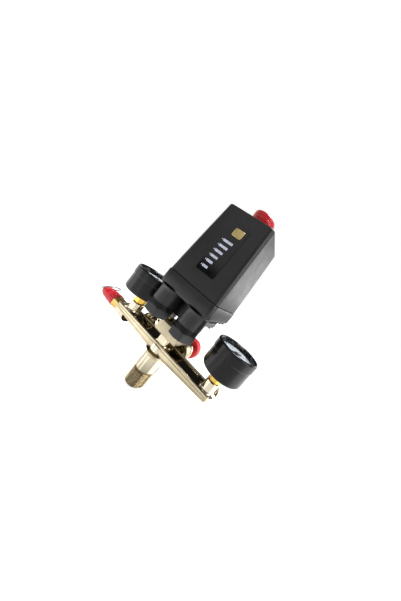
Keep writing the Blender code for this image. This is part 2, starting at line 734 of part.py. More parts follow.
tube(
    "pull_ring",
    [
        (
            -107.2 + RING_DIR[0] * RING_R * (1 - cos(2 * pi * i / 24)),
            RING_R * sin(2 * pi * i / 24),
            RELIEF_Z + RING_DIR[1] * RING_R * (1 - cos(2 * pi * i / 24)),
        )
        for i in range(24)
    ],
    0.4,
    "steel_zinc",
    (-107.2, 0, RELIEF_Z),
    closed=True,
    resolution=1,
)

# ---------------------------------------------------------------- gauges
for side, gx in GAUGE_X.items():
    at = (gx, 0, 0)
    turned(
        f"gauge_case_{side}",
        [
            (4.6, 72.3),
            (20.4, 72.3),
            (21.7, 73.6),
            (21.7, 89.8),
            (22.4, 90.3),
            (22.4, 98.5),
            (21.8, 99.2),
            (20.4, 99.2),
            (18.9, 98.0),
            (18.9, 74.4),
            (4.6, 74.4),
        ],
        "abs_black",
        24,
        base=at,
        ring=True,
    )
    turned(f"gauge_lens_{side}", [(18.6, 96.2), (18.6, 97.7)], "glass", 24, base=at)
    turned(f"gauge_dial_{side}", [(1.6, 93.0), (18.6, 93.0), (18.6, 93.8), (1.6, 93.8)], "dial_white", 20, base=at, ring=True)
    needle = turned(
        f"gauge_pointer_{side}",
        [(1.0, 86.4), (1.0, 94.2), (2.3, 94.2), (2.3, 95.2), (1.6, 95.5)],
        "pointer_black",
        14,
        base=at,
    )
    pointer = block(f"needle_{side}", (-6.0, 14.5), (-0.45, 0.45), (-0.35, 0.35), "pointer_black", cutter=True)
    pointer.location = Vector((gx, 0, 94.8)) * MM
    pointer.rotation_euler.z = radians(225)
    join(needle, pointer)
    loft(
        f"gauge_socket_{side}",
        [
            circle(1.5, 53.2, 18),
            circle(4.6, 53.2, 18),
            circle(4.6, 62.3, 18),
            hexagon(12.0, 62.3, 18),
            hexagon(12.0, 70.6, 18),
            circle(4.3, 71.2, 18),
            circle(4.3, 83.5, 18),
            circle(3.6, 84.2, 18),
            circle(1.5, 84.2, 18),
        ],
        "brass",
        base=at,
        ring=True,
    )
    tube(
        f"bourdon_tube_{side}",
        [(gx + 12.0 * cos(radians(120 + 18 * i)), 12.0 * sin(radians(120 + 18 * i)), 81.0) for i in range(15)],
        1.5,
        "copper",
        (gx, 0, 81.0),
    )

# Each turning or sliding piece keeps its origin on its joint axis.
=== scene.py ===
import json
from math import atan, atan2, cos, pi, radians, sin, sqrt, hypot

import bmesh
import bpy
import numpy as np
from mathutils import Matrix, Vector


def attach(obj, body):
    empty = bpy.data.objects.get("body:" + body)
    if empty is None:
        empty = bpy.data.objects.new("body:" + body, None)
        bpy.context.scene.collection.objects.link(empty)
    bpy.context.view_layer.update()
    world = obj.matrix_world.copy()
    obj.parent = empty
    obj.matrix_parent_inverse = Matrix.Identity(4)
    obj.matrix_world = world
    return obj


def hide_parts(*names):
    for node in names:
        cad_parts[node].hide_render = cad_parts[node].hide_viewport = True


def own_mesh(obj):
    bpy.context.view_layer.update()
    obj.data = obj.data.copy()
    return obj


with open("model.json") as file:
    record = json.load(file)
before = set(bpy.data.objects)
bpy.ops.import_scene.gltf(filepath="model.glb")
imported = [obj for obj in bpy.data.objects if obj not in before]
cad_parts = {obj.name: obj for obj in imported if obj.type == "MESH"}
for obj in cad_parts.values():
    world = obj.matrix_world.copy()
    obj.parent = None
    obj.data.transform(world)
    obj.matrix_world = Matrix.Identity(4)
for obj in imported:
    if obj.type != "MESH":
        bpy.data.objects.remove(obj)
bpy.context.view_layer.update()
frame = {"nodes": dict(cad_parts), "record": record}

MM = 0.001
SCENE = bpy.context.scene
NODES = frame["nodes"]

# ------------------------------------------------------------------ camera at the photograph's angle
cam_data = bpy.data.cameras.new("photo_camera")
cam = bpy.data.objects.new("photo_camera", cam_data)
SCENE.collection.objects.link(cam)
ax = Vector((0.744, 0.211, 0.634)).normalized()
az = Vector((0.248, -0.968, 0.029))
az = (az - ax * az.dot(ax)).normalized()
ay = az.cross(ax)
cam.matrix_world = Matrix(
    (
        (ax.x, ay.x, az.x, 0.07657),
        (ax.y, ay.y, az.y, -0.14543),
        (ax.z, ay.z, az.z, 0.13230),
        (0, 0, 0, 1),
    )
)
cam_data.sensor_width = 36
cam_data.lens = 156.0 / 601.0 * 36.0
cam_data.shift_x = -0.0657
cam_data.shift_y = 0.0158
cam_data.clip_start = 0.005
cam_data.clip_end = 60
SCENE.camera = cam


# ------------------------------------------------------------------ material tools
def new_material(name):
    mat = bpy.data.materials.new(name)
    mat.use_nodes = True
    tree = mat.node_tree
    shader = tree.nodes["Principled BSDF"]
    return mat, tree, shader


def node(tree, kind, **values):
    n = tree.nodes.new(kind)
    for key, value in values.items():
        if key.startswith("in_"):
            n.inputs[key[3:].replace("_", " ")].default_value = value
        else:
            setattr(n, key, value)
    return n


def coords(tree):
    return node(tree, "ShaderNodeTexCoord").outputs["Object"]


def noise(tree, where, scale, detail=3.0, rough=0.55):
    n = node(tree, "ShaderNodeTexNoise")
    n.inputs["Scale"].default_value = scale
    n.inputs["Detail"].default_value = detail
    n.inputs["Roughness"].default_value = rough
    tree.links.new(where, n.inputs["Vector"])
    return n.outputs["Fac"]


def ramp(tree, fac, stops):
    n = node(tree, "ShaderNodeValToRGB")
    e = n.color_ramp.elements
    while len(e) < len(stops):
        e.new(0.5)
    for slot, (at, colour) in zip(e, stops):
        slot.position = at
        slot.color = (*colour, 1)
    tree.links.new(fac, n.inputs["Fac"])
    return n.outputs["Color"]


def span(tree, fac, low, high, a=0.0, b=1.0):
    n = node(tree, "ShaderNodeMapRange")
    n.inputs["From Min"].default_value = a
    n.inputs["From Max"].default_value = b
    n.inputs["To Min"].default_value = low
    n.inputs["To Max"].default_value = high
    tree.links.new(fac, n.inputs["Value"])
    return n.outputs["Result"]


def bump(tree, shader, height, distance, strength=1.0, below=None):
    n = node(tree, "ShaderNodeBump")
    n.inputs["Distance"].default_value = distance
    n.inputs["Strength"].default_value = strength
    tree.links.new(height, n.inputs["Height"])
    if below is not None:
        tree.links.new(below, n.inputs["Normal"])
    tree.links.new(n.outputs["Normal"], shader.inputs["Normal"])
    return n.outputs["Normal"]


def moulded(name, dark, light, rough=(0.38, 0.5), grain=2600, depth=0.00002, specular=0.5, coat=0.0):
    """Moulded plastic: fine spark-erosion grain, faint flow marks and handling shine."""
    mat, tree, shader = new_material(name)
    where = coords(tree)
    flow = noise(tree, where, 38, 4)
    fine = noise(tree, where, grain, 2)
    tree.links.new(ramp(tree, flow, [(0.3, dark), (0.75, light)]), shader.inputs["Base Color"])
    wear = noise(tree, where, 120, 5, 0.65)
    tree.links.new(span(tree, wear, rough[0], rough[1], 0.3, 0.7), shader.inputs["Roughness"])
    first = bump(tree, shader, fine, depth)
    bump(tree, shader, flow, 0.00012, 0.25, first)
    shader.inputs["Specular IOR Level"].default_value = specular
    shader.inputs["Coat Weight"].default_value = coat
    shader.inputs["Coat Roughness"].default_value = 0.12
    return mat


def metal(name, dark, light, rough=(0.1, 0.2), fine=1500, depth=0.000008, cast=0.0, patch=90):
    """Plated or machined metal: patches of tone, tool marks or sand grain, and varied polish."""
    mat, tree, shader = new_material(name)
    where = coords(tree)
    broad = noise(tree, where, patch, 4, 0.6)
    small = noise(tree, where, fine, 3, 0.6)
    tree.links.new(ramp(tree, broad, [(0.32, dark), (0.68, light)]), shader.inputs["Base Color"])
    tree.links.new(span(tree, small, rough[0], rough[1], 0.3, 0.7), shader.inputs["Roughness"])
    shader.inputs["Metallic"].default_value = 1.0
    first = bump(tree, shader, small, depth)
    if cast:
        pits = noise(tree, where, 620, 4, 0.7)
        bump(tree, shader, pits, cast, 0.9, first)
    return mat


def plain(name, colour, metallic=0.0, rough=0.4):
    mat, tree, shader = new_material(name)
    where = coords(tree)
    tone = noise(tree, where, 300, 3)
    low = tuple(c * 0.9 for c in colour)
    high = tuple(min(1, c * 1.08) for c in colour)
    tree.links.new(ramp(tree, tone, [(0.3, low), (0.7, high)]), shader.inputs["Base Color"])
    tree.links.new(span(tree, tone, rough * 0.85, rough * 1.15, 0.3, 0.7), shader.inputs["Roughness"])
    shader.inputs["Metallic"].default_value = metallic
    return mat


ABS = moulded("abs_black", (0.012, 0.012, 0.0125), (0.017, 0.017, 0.018), (0.30, 0.42), 2400, 0.000022)
NYLON = moulded("nylon_black", (0.012, 0.012, 0.0135), (0.02, 0.02, 0.022), (0.34, 0.5), 1500, 0.00003)
GAUGE_BLACK = moulded("gauge_black", (0.006, 0.006, 0.0066), (0.010, 0.010, 0.011), (0.15, 0.25), 1800, 0.000012, 0.3)
LABEL = moulded("label_black", (0.003, 0.003, 0.0035), (0.0045, 0.0045, 0.005), (0.10, 0.18), 900, 0.000004)
RUBBER = moulded("rubber_black", (0.016, 0.016, 0.016), (0.028, 0.028, 0.027), (0.65, 0.85), 1200, 0.00005, 0.3)
RED = moulded("red_plastic", (0.55, 0.012, 0.018), (0.68, 0.022, 0.03), (0.22, 0.34), 1400, 0.000012)
RED_CAP = moulded("red_cap", (0.62, 0.012, 0.026), (0.76, 0.026, 0.04), (0.24, 0.36), 1400, 0.000012)
CAST = metal("nickel_cast", (0.58, 0.49, 0.32), (0.76, 0.67, 0.47), (0.26, 0.42), 1300, 0.00004, 0.00012, 60)
POLISH = metal("nickel_polished", (0.74, 0.65, 0.47), (0.86, 0.78, 0.61), (0.07, 0.16), 1400, 0.000005, 0.0, 70)
# Milled nickel for the channel, its colour darkened as a painted reflection of the black housing above.
MILLED_PAINTED_REFLECTION = metal("nickel_milled_painted_reflection", (0.26, 0.22, 0.15), (0.44, 0.38, 0.28), (0.06, 0.13), 900, 0.000003, 0.0, 45)
def thread_root_shaded(name, crest, root, light, dark):
    """Nickel with painted shade darkening its thread roots: the tone follows the distance from the vertical axis, in
    metres.
    """
    mat, tree, shader = new_material(name)
    where = coords(tree)
    split = node(tree, "ShaderNodeSeparateXYZ")
    tree.links.new(where, split.inputs[0])
    flat = node(tree, "ShaderNodeCombineXYZ")
    tree.links.new(split.outputs[0], flat.inputs[0])
    tree.links.new(split.outputs[1], flat.inputs[1])
    reach = node(tree, "ShaderNodeVectorMath", operation="LENGTH")
    tree.links.new(flat.outputs[0], reach.inputs[0])
    depth = span(tree, reach.outputs["Value"], 0, 1, root * MM, crest * MM)
    tree.links.new(ramp(tree, depth, [(0.25, dark), (0.85, light)]), shader.inputs["Base Color"])
    grain = noise(tree, where, 900, 3)
    tree.links.new(span(tree, grain, 0.18, 0.32, 0.3, 0.7), shader.inputs["Roughness"])
    shader.inputs["Metallic"].default_value = 1.0
    bump(tree, shader, grain, 0.00001)
    return mat


# The stud's thread roots carry painted shade, darker towards the axis; the crests keep the nickel colour.
STUD_THREAD = thread_root_shaded("stud_thread", 10.9, 9.75, (0.86, 0.74, 0.52), (0.24, 0.18, 0.10))
BRASS = metal("brass", (0.50, 0.33, 0.11), (0.68, 0.47, 0.18), (0.14, 0.26), 1600, 0.000008, 0.0, 140)
RING_WIRE = metal("ring_wire", (0.17, 0.165, 0.15), (0.27, 0.26, 0.24), (0.2, 0.34), 2000, 0.000006, 0.0, 160)
HUB_CAST = metal("nickel_hub", (0.42, 0.36, 0.24), (0.58, 0.51, 0.36), (0.26, 0.42), 1300, 0.00003, 0.0001, 60)
STEM = metal("brass_bright", (0.85, 0.50, 0.08), (0.95, 0.62, 0.14), (0.12, 0.24), 1600, 0.000008, 0.0, 140)
# Cast zinc darkened far below zinc_steel: painted shade for the hub column and flange under the housing.
ZINC_CAST_PAINTED_SHADE = metal("zinc_cast_painted_shade", (0.10, 0.095, 0.09), (0.2, 0.19, 0.175), (0.35, 0.5), 1200, 0.00003, 0.00008, 90)
ZINC = metal("zinc_steel", (0.5, 0.5, 0.5), (0.66, 0.66, 0.67), (0.2, 0.36), 1800, 0.00001, 0.0, 160)
WIRE = metal("spring_wire", (0.48, 0.48, 0.49), (0.62, 0.62, 0.63), (0.14, 0.26), 2000, 0.000006, 0.0, 160)
COPPER = metal("copper", (0.72, 0.33, 0.2), (0.86, 0.45, 0.3), (0.18, 0.3), 1600, 0.00001, 0.0, 140)
PHENOLIC = moulded("phenolic_brown", (0.09, 0.03, 0.014), (0.14, 0.05, 0.02), (0.35, 0.5), 1400, 0.00002)
# Satin nickel lightened to near-white: the ball's colour is partly a painted highlight.
BALL_PAINTED_HIGHLIGHT = plain("satin_nickel_ball_painted_highlight", (0.92, 0.91, 0.87), 0.35, 0.3)
DIAL = plain("dial_white", (0.86, 0.87, 0.90), 0.0, 0.45)
PRINT_BLACK = plain("print_black", (0.03, 0.03, 0.033), 0.0, 0.5)
PRINT_WHITE = plain("print_white", (0.62, 0.66, 0.8), 0.0, 0.4)
PRINT_GOLD = metal("print_gold", (0.55, 0.42, 0.16), (0.75, 0.6, 0.28), (0.2, 0.35), 1200, 0.00001, 0.0, 200)

GLASS, _t, _s = new_material("gauge_glass")
_w = coords(_t)
_clear = _t.nodes.new("ShaderNodeBsdfTransparent")
_t.links.new(ramp(_t, noise(_t, _w, 80, 2), [(0.3, (0.9, 0.92, 0.93)), (0.7, (0.95, 0.96, 0.97))]), _clear.inputs["Color"])
_shine = _t.nodes.new("ShaderNodeBsdfGlossy")
_t.links.new(span(_t, noise(_t, _w, 60, 2), 0.03, 0.07), _shine.inputs["Roughness"])
_m = _t.nodes.new("ShaderNodeMixShader")
_t.links.new(span(_t, noise(_t, _w, 50, 2), 0.05, 0.09), _m.inputs["Fac"])
_t.links.new(_clear.outputs[0], _m.inputs[1])
_t.links.new(_shine.outputs[0], _m.inputs[2])
_t.links.new(_m.outputs[0], _t.nodes["Material Output"].inputs["Surface"])

BY_SLOT = {
    "abs_black": ABS,
    "nylon_black": NYLON,
    "label_gloss": LABEL,
    "rubber_black": RUBBER,
    "zinc_steel": ZINC,
    "spring_steel": WIRE,
    "phenolic_brown": PHENOLIC,
    "copper": COPPER,
    "brass": BRASS,
    "nickel_cast": CAST,
    "red_plastic": RED,
    "clear_lens": GLASS,
    "dial_white": DIAL,
    "pointer_black": PRINT_BLACK,
}
for part in frame["record"]["subparts"]:
    obj = NODES[part["node"]]
    for place in obj.material_slots:
        place.material = BY_SLOT[part["material_slot"]]

# ------------------------------------------------------------------ mesh tools, in mm
AXES = {
    "z": Matrix.Identity(4),
    "y": Matrix.Rotation(-pi / 2, 4, "X"),
    "x": Matrix.Rotation(pi / 2, 4, "Y"),
    "-x": Matrix.Rotation(-pi / 2, 4, "Y"),
}


def make(name, verts, faces, mats, body="base", nodes=(), slot=None, smooth=32, face_mat=None):
    mesh = bpy.data.meshes.new(name)
    mesh.from_pydata([tuple(np.asarray(v, float) * MM) for v in verts], [], faces)
    mesh.update()
    for m in mats if isinstance(mats, (list, tuple)) else [mats]:
        mesh.materials.append(m)
    if face_mat is not None:
        mesh.polygons.foreach_set("material_index", np.asarray(face_mat, np.int32))
    obj = bpy.data.objects.new(name, mesh)
    SCENE.collection.objects.link(obj)
    tidy(obj, smooth)
    dress(obj, body, nodes)
    return obj


def tidy(obj, smooth=32):
    mesh = obj.data
    bm = bmesh.new()
    bm.from_mesh(mesh)
    bmesh.ops.remove_doubles(bm, verts=bm.verts, dist=1e-7)
    bmesh.ops.recalc_face_normals(bm, faces=bm.faces)
    bm.to_mesh(mesh)
    bm.free()
    mesh.shade_smooth()
    mesh.set_sharp_from_angle(angle=radians(smooth))


def dress(obj, body, nodes=()):
    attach(obj, body)
    if nodes:
        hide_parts(*nodes)


def radii(r, n):
    return r if isinstance(r, np.ndarray) else np.full(n, float(r))


def sweep(name, rings, mat, n=96, axis="z", base=(0, 0, 0), closed=False, **kw):
    """Rings of (radius or n radii, height) about an axis. A radius of 0 is a point on the axis."""
    turn = Matrix.Translation(Vector(base)) @ AXES[axis]
    R = np.array([[*row] for row in turn])
    a = 2 * pi * np.arange(n) / n
    verts, rows = [], []
    for r, h in rings:
        if not isinstance(r, np.ndarray) and r <= 1e-6:
            rows.append([len(verts)])
            verts.append((0, 0, h))
        else:
            rr = radii(r, n)
            rows.append(list(range(len(verts), len(verts) + n)))
            verts += list(zip(rr * np.cos(a), rr * np.sin(a), np.full(n, float(h))))
    v = np.array(verts, float)
    v = v @ R[:3, :3].T + R[:3, 3]
    faces = []
    pairs = list(zip(rows, rows[1:])) + ([(rows[-1], rows[0])] if closed else [])
    for p, q in pairs:
        for i in range(n):
            j = (i + 1) % n
            if len(p) == 1 and len(q) == 1:
                continue
            if len(p) == 1:
                faces.append((p[0], q[j], q[i]))
            elif len(q) == 1:
                faces.append((p[i], p[j], q[0]))
            else:
                faces.append((p[i], p[j], q[j], q[i]))
    return make(name, v, faces, mat, **kw)


def soften(profile, r=0.35, seg=3, closed=False):
    """Rounds the corners of a (radius, height) outline."""
    out = []
    m = len(profile)
    for i, p in enumerate(profile):
        if not closed and i in (0, m - 1):
            out.append(p)
            continue
        a, b = profile[i - 1], profile[(i + 1) % m]
        u = (a[0] - p[0], a[1] - p[1])
        v = (b[0] - p[0], b[1] - p[1])
        lu, lv = hypot(*u), hypot(*v)
        if lu < 1e-6 or lv < 1e-6:
            continue
        d = min(r, 0.45 * lu, 0.45 * lv)
        u = (u[0] / lu, u[1] / lu)
        v = (v[0] / lv, v[1] / lv)
        if u[0] * v[0] + u[1] * v[1] < -0.995:
            out.append(p)
            continue
        s, e = (p[0] + u[0] * d, p[1] + u[1] * d), (p[0] + v[0] * d, p[1] + v[1] * d)
        for k in range(seg + 1):
            t = k / seg
            out.append(
                (
                    (1 - t) ** 2 * s[0] + 2 * t * (1 - t) * p[0] + t * t * e[0],
                    (1 - t) ** 2 * s[1] + 2 * t * (1 - t) * p[1] + t * t * e[1],
                )
            )
    return out


def hexr(af, n, cap=1.135):
    a = 2 * pi * np.arange(n) / n
    r = af / 2 / np.cos((a % (pi / 3)) - pi / 6)
    return np.minimum(r, af / 2 * cap)


def hexrings(af, h0, h1, n, chamfer=0.5, both=True):
    """A hexagon with turned chamfers at its ends."""
    full = hexr(af, n)
    step = chamfer if h1 > h0 else -chamfer
    out = [(np.minimum(full, af / 2 * 0.985), h0), (np.minimum(full, af / 2 * 1.06), h0 + step * 0.55), (full, h0 + step)]
    if both:
        out += [(full, h1 - step), (np.minimum(full, af / 2 * 1.06), h1 - step * 0.55), (np.minimum(full, af / 2 * 0.985), h1)]
    else:
        out += [(full, h1)]
    return out


def thread_rings(r, depth, pitch, h0, h1, n, per=8, taper=0.0):
    """A helical thread as rings whose radii follow the helix, fading at both ends."""
    a = np.arange(n) / n
    out = []
    steps = max(8, int(abs(h1 - h0) / pitch * per))
    for k in range(steps + 1):
        t = k / steps
        h = h0 + (h1 - h0) * t
        phase = (h / pitch - a) % 1.0
        tooth = np.abs(2 * phase - 1)
        tooth = np.clip(tooth * 1.25 - 0.12, 0, 1)
        fade = min(1.0, 4 * t * (h1 - h0) / pitch if t < 0.5 else 4 * (1 - t) * abs(h1 - h0) / pitch)
        out.append((r - taper * t - depth * tooth * min(1, fade) - (1 - min(1, fade)) * depth * 0.5, h))
    return out


def rrect(hx, hy, r, h, k=14, cx=0.0, cy=0.0):
    out = []
    for q, (sx, sy) in enumerate(((1, 1), (-1, 1), (-1, -1), (1, -1))):
        for i in range(k):
            a = pi / 2 * (q + i / (k - 1))
            out.append((cx + sx * (hx - r) + r * cos(a), cy + sy * (hy - r) + r * sin(a), h))
    return out


def rcircle(r, h, k=14, cx=0.0, cy=0.0):
    out = []
    for q in range(4):
        for i in range(k):
            a = pi / 2 * (q + (i + 0.5) / k)
            out.append((cx + r * cos(a), cy + r * sin(a), h))
    return out


def loft(name, loops, mat, closed=False, caps=False, **kw):
    n = len(loops[0])
    verts = [p for loop in loops for p in loop]
    faces = []
    count = len(loops)
    for s in range(count if closed else count - 1):
        a, b = s * n, ((s + 1) % count) * n
        for i in range(n):
            j = (i + 1) % n
            faces.append((a + i, a + j, b + j, b + i))
    if caps:
        faces.append(tuple(range(n))[::-1])
        faces.append(tuple(range((count - 1) * n, count * n)))
    return make(name, verts, faces, mat, **kw)


def merge(name, objs, body="base", nodes=()):
    """Joins finished pieces into one object."""
    bm = bmesh.new()
    mats = []
    for o in objs:
        start = len(bm.faces)
        offset = []
        for m in o.data.materials:
            if m not in mats:
                mats.append(m)
            offset.append(mats.index(m))
        bm.from_mesh(o.data)
        bm.faces.ensure_lookup_table()
        for f in bm.faces[start:]:
            f.material_index = offset[f.material_index] if f.material_index < len(offset) else 0
    mesh = bpy.data.meshes.new(name)
    bm.to_mesh(mesh)
    bm.free()
    for m in mats:
        mesh.materials.append(m)
    for o in objs:
        bpy.data.objects.remove(o, do_unlink=True)
    obj = bpy.data.objects.new(name, mesh)
    SCENE.collection.objects.link(obj)
    dress(obj, body, nodes)
    return obj


def rounded_box(name, x, y, z, mat, r=0.6, seg=3, **kw):
    bm = bmesh.new()
    bmesh.ops.create_cube(bm, size=1)
    size = Vector((x[1] - x[0], y[1] - y[0], z[1] - z[0]))
    mid = Vector((x[0] + x[1], y[0] + y[1], z[0] + z[1])) / 2
    bmesh.ops.transform(bm, matrix=Matrix.Translation(mid) @ Matrix.Diagonal((*size, 1)), verts=bm.verts)
    bmesh.ops.bevel(bm, geom=list(bm.edges), offset=r, segments=seg, affect="EDGES", profile=0.5)
    bm.verts.index_update()
    verts = [tuple(v.co) for v in bm.verts]
    faces = [tuple(v.index for v in f.verts) for f in bm.faces]
    bm.free()
    return make(name, verts, faces, mat, **kw)


def wire(name, points, r, mat, n=12, closed=True, **kw):
    """A round wire through points, as a mesh."""
    P = np.array(points, float)
    m = len(P)
    T = np.roll(P, -1, 0) - np.roll(P, 1, 0)
    if not closed:
        T[0], T[-1] = P[1] - P[0], P[-1] - P[-2]
    T /= np.linalg.norm(T, axis=1)[:, None]
    up = np.array((0.0, 0.0, 1.0)) if abs(T[0][2]) < 0.9 else np.array((0.0, 1.0, 0.0))
    N = np.zeros_like(P)
    N[0] = np.cross(T[0], up)
    N[0] /= np.linalg.norm(N[0])
    for i in range(1, m):
        v = N[i - 1] - T[i] * (N[i - 1] @ T[i])
        N[i] = v / np.linalg.norm(v)
    verts, faces = [], []
    for i in range(m):
        B = np.cross(T[i], N[i])
        for k in range(n):
            a = 2 * pi * k / n
            verts.append(P[i] + r * (cos(a) * N[i] + sin(a) * B))
    for i in range(m if closed else m - 1):
        for k in range(n):
            j = (k + 1) % n
            a, b = i * n, ((i + 1) % m) * n
            faces.append((a + k, a + j, b + j, b + k))
    if not closed:
        faces.append(tuple(range(n))[::-1])
        faces.append(tuple(range((m - 1) * n, m * n)))
    return make(name, verts, faces, mat, **kw)


# ------------------------------------------------------------------ dimensions shared with the CAD, mm
HX, HY, TX, TY = 30.0, 28.5, 25.6, 25.0
SKIRT, SEAM, TOP = 104.0, 118.5, 198.0
GLAND_X, GLAND_Y, GLAND_R = 17.0, -19.0, 11.5
BAR_HALF, BAR_Y, BAR_TOP, BAR_BOTTOM, BAR_END = 70.0, 10.0, 51.5, 41.0, 44.2
CHANNEL = 1.4
REG = (9.5, 0, 48.5)
RELIEF = (0, 0, 43.5)
GAUGES = {"right": 63.0, "left": -57.0}
DIA_Y = 8.0
SCREW_AT = [(-18.6, -2.9), (18.6, -2.9), (18.6, 22.4), (-18.6, 22.4)]
PIN = (-13.0, -1.5, 0)

# ------------------------------------------------------------------ cover
K = 14
low = SEAM + 0.3


def side(z, grow=0.0):
    t = (z - SEAM) / (TOP - SEAM)
    bow = 0.35 * sin(pi * min(1, max(0, t)))
    return HX + (TX - HX) * t + grow + bow * 0.4, HY + (TY - HY) * t + grow + bow * 0.4


loops = [rrect(HX - 2.2, HY - 2.2, 3.0, low, K), rrect(HX - 0.35, HY - 0.35, 4.4, low, K)]
loops += [rrect(HX - 0.05, HY - 0.05, 4.6, low + 0.35, K)]
for z in np.linspace(low + 1.2, TOP - 2.4, 14):
    a, b = side(z, -0.05)
    loops.append(rrect(a, b, 4.6, z, K))
a, b = side(TOP - 1.8, -0.05)
for i in range(9):
    t = pi / 2 * i / 8
    loops.append(rrect(a - 1.8 * (1 - cos(t)), b - 1.8 * (1 - cos(t)), 4.6 - 1.2 * (1 - cos(t)), TOP - 1.8 + 1.8 * sin(t), K))
loops += [
    rcircle(13.4, TOP, K),
    rcircle(12.9, TOP - 0.25, K),
    rcircle(12.4, TOP - 0.6, K),
    rcircle(9.9, TOP - 0.6, K),
    rcircle(9.5, TOP - 0.9, K),
    rcircle(9.4, TOP - 2.2, K),
    rrect(TX - 4.4, TY - 4.4, 3.0, TOP - 2.2, K),
    rrect(TX - 2.4, TY - 2.4, 3.0, TOP - 5.0, K),
]
loft("cover_shell", loops, ABS, closed=True, nodes=["cover"], slot="abs_black", smooth=40)

# ------------------------------------------------------------------ label with a generic level scale and a plain gilt patch
slope = (HY - TY) / (TOP - SEAM)
LX, LZ = (-9.0, 11.5), (133.0, 184.5)


def on_front(x, z, off):
    return (x, -(HY - slope * (z - SEAM)) - off, z)


def patch(x0, x1, z0, z1, r, off0, off1, seg=6):
    pts = []
    for cx, cz, q in ((x1 - r, z1 - r, 0), (x0 + r, z1 - r, 1), (x0 + r, z0 + r, 2), (x1 - r, z0 + r, 3)):
        for i in range(seg + 1):
            a = pi / 2 * (q + i / seg)
            pts.append((cx + r * cos(a), cz + r * sin(a)))
    return pts


def plate(name, outline, off0, off1, mat, edge=0.08):
    cx = sum(p[0] for p in outline) / len(outline)
    cz = sum(p[1] for p in outline) / len(outline)
    verts = [on_front(x, z, off0) for x, z in outline] + [on_front(x, z, off1 - edge) for x, z in outline]
    inner = []
    for x, z in outline:
        d = hypot(x - cx, z - cz)
        inner.append((x - (x - cx) / d * edge, z - (z - cz) / d * edge))
    verts += [on_front(x, z, off1) for x, z in inner]
    n = len(outline)
    faces = []
    for s in (0, n):
        for i in range(n):
            j = (i + 1) % n
            faces.append((s + i, s + j, s + n + j, s + n + i))
    faces.append(tuple(range(2 * n, 3 * n)))
    faces.append(tuple(range(n))[::-1])
    return make(name, verts, faces, mat, smooth=25)


made = [plate("label_a", patch(*LX, *LZ, 1.2, 0, 0), -0.1, 0.45, LABEL)]
cell = 5.6
for i in range(6):
    z0 = LZ[0] + 4.2 + i * cell
    height = 10.5 - 0.9 * (5 - i)
    x0 = -5.2
    made.append(plate(f"bar_{i}", patch(x0, x0 + height, z0, z0 + 2.3, 0.5, 0, 0), 0.4, 0.56, PRINT_WHITE, 0.04))
    made.append(plate(f"tick_{i}", patch(x0 - 1.5, x0 - 0.6, z0 + 0.6, z0 + 1.7, 0.25, 0, 0), 0.4, 0.56, PRINT_WHITE, 0.04))
made.append(plate("gilt", patch(-2.6, 7.6, 173.4, 181.2, 1.6, 0, 0), 0.4, 0.57, PRINT_GOLD, 0.05))
merge("front_label", made, nodes=["label_plate"])

# ------------------------------------------------------------------ base housing
made = []
loops = []
outer = [
    (-1.4, SKIRT + 0.0, 4.0),
    (-0.5, SKIRT + 0.25, 4.4),
    (0.1, SKIRT + 0.8, 4.7),
    (0.45, SKIRT + 1.7, 4.8),
    (0.6, SKIRT + 3.0, 4.9),
    (0.6, SEAM - 0.5, 4.9),
    (0.45, SEAM - 0.15, 4.8),
    (0.15, SEAM, 4.6),
]
for g, z, r in outer:
    loops.append(rrect(HX + g, HY + g, r, z, K))
loops.append(rrect(HX - 2.2, HY - 2.2, 3.0, SEAM, K))
loops.append(rrect(HX - 2.2, HY - 2.2, 3.0, SKIRT + 3.0, K))
skirt = loft("skirt", loops, ABS, caps=True, smooth=40)
made.append(skirt)
for sx in (-1, 1):
    at = (sx * GLAND_X, GLAND_Y, 0)
    n = 96
    rings = [(7.6, SKIRT - 3), (7.6, 78.6), (8.4, 78.2), (9.0, 78.3)]
    rings += thread_rings(9.3, 0.7, 1.6, 78.8, 84.6, n, 8)
    grooves = [(8.8, 84.7), (9.4, 84.75), (11.2, 84.8), (11.3, 85.0), (11.3, 85.35), (9.9, 85.5), (9.9, 86.1), (11.3, 86.25), (11.3, 86.6), (9.9, 86.75), (9.9, 87.35), (11.3, 87.5), (11.3, 87.9), (10.0, 88.05), (10.0, 88.6), (11.2, 88.8), (GLAND_R - 0.05, 89.1)]
    rings += [(r, h) for r, h in soften(grooves, 0.12, 2)]
    rings += [(GLAND_R, h) for h in (92, 96, 100)] + [(GLAND_R + 0.15, 102), (GLAND_R + 0.6, 103.2), (GLAND_R + 1.5, 104.0), (GLAND_R + 1.5, 104.6)]
    made.append(sweep(f"stub_{sx}", rings, ABS, n, base=at, smooth=35))
made.append(rounded_box("stub_web", (-9.5, 9.5), (-13, -10), (85, 105), ABS, 0.5, 3))
# boss that seats the diaphragm
made.append(rounded_box("seat", (-22, 22), (-6.4, 26), (99.2, 105.5), ABS, 1.0, 3))
# short ribs and clip feet along the underside of the skirt
for i, y in enumerate(np.linspace(-15, 24, 9)):
    for sx in (-1, 1):
        made.append(rounded_box(f"rib_{sx}_{i}", (sx * 26.4 - 1.9, sx * 26.4 + 1.9), (y - 0.9, y + 0.9), (101.4 + (i % 2) * 0.9, 104.6), ABS, 0.3, 2))
for sx in (-1, 1):
    made.append(rounded_box(f"rail_{sx}", (sx * 24.0 - 0.8, sx * 24.0 + 0.8), (-15, 25), (102.2, 104.6), ABS, 0.3, 2))
merge("base_shell", made, nodes=["base_housing"])

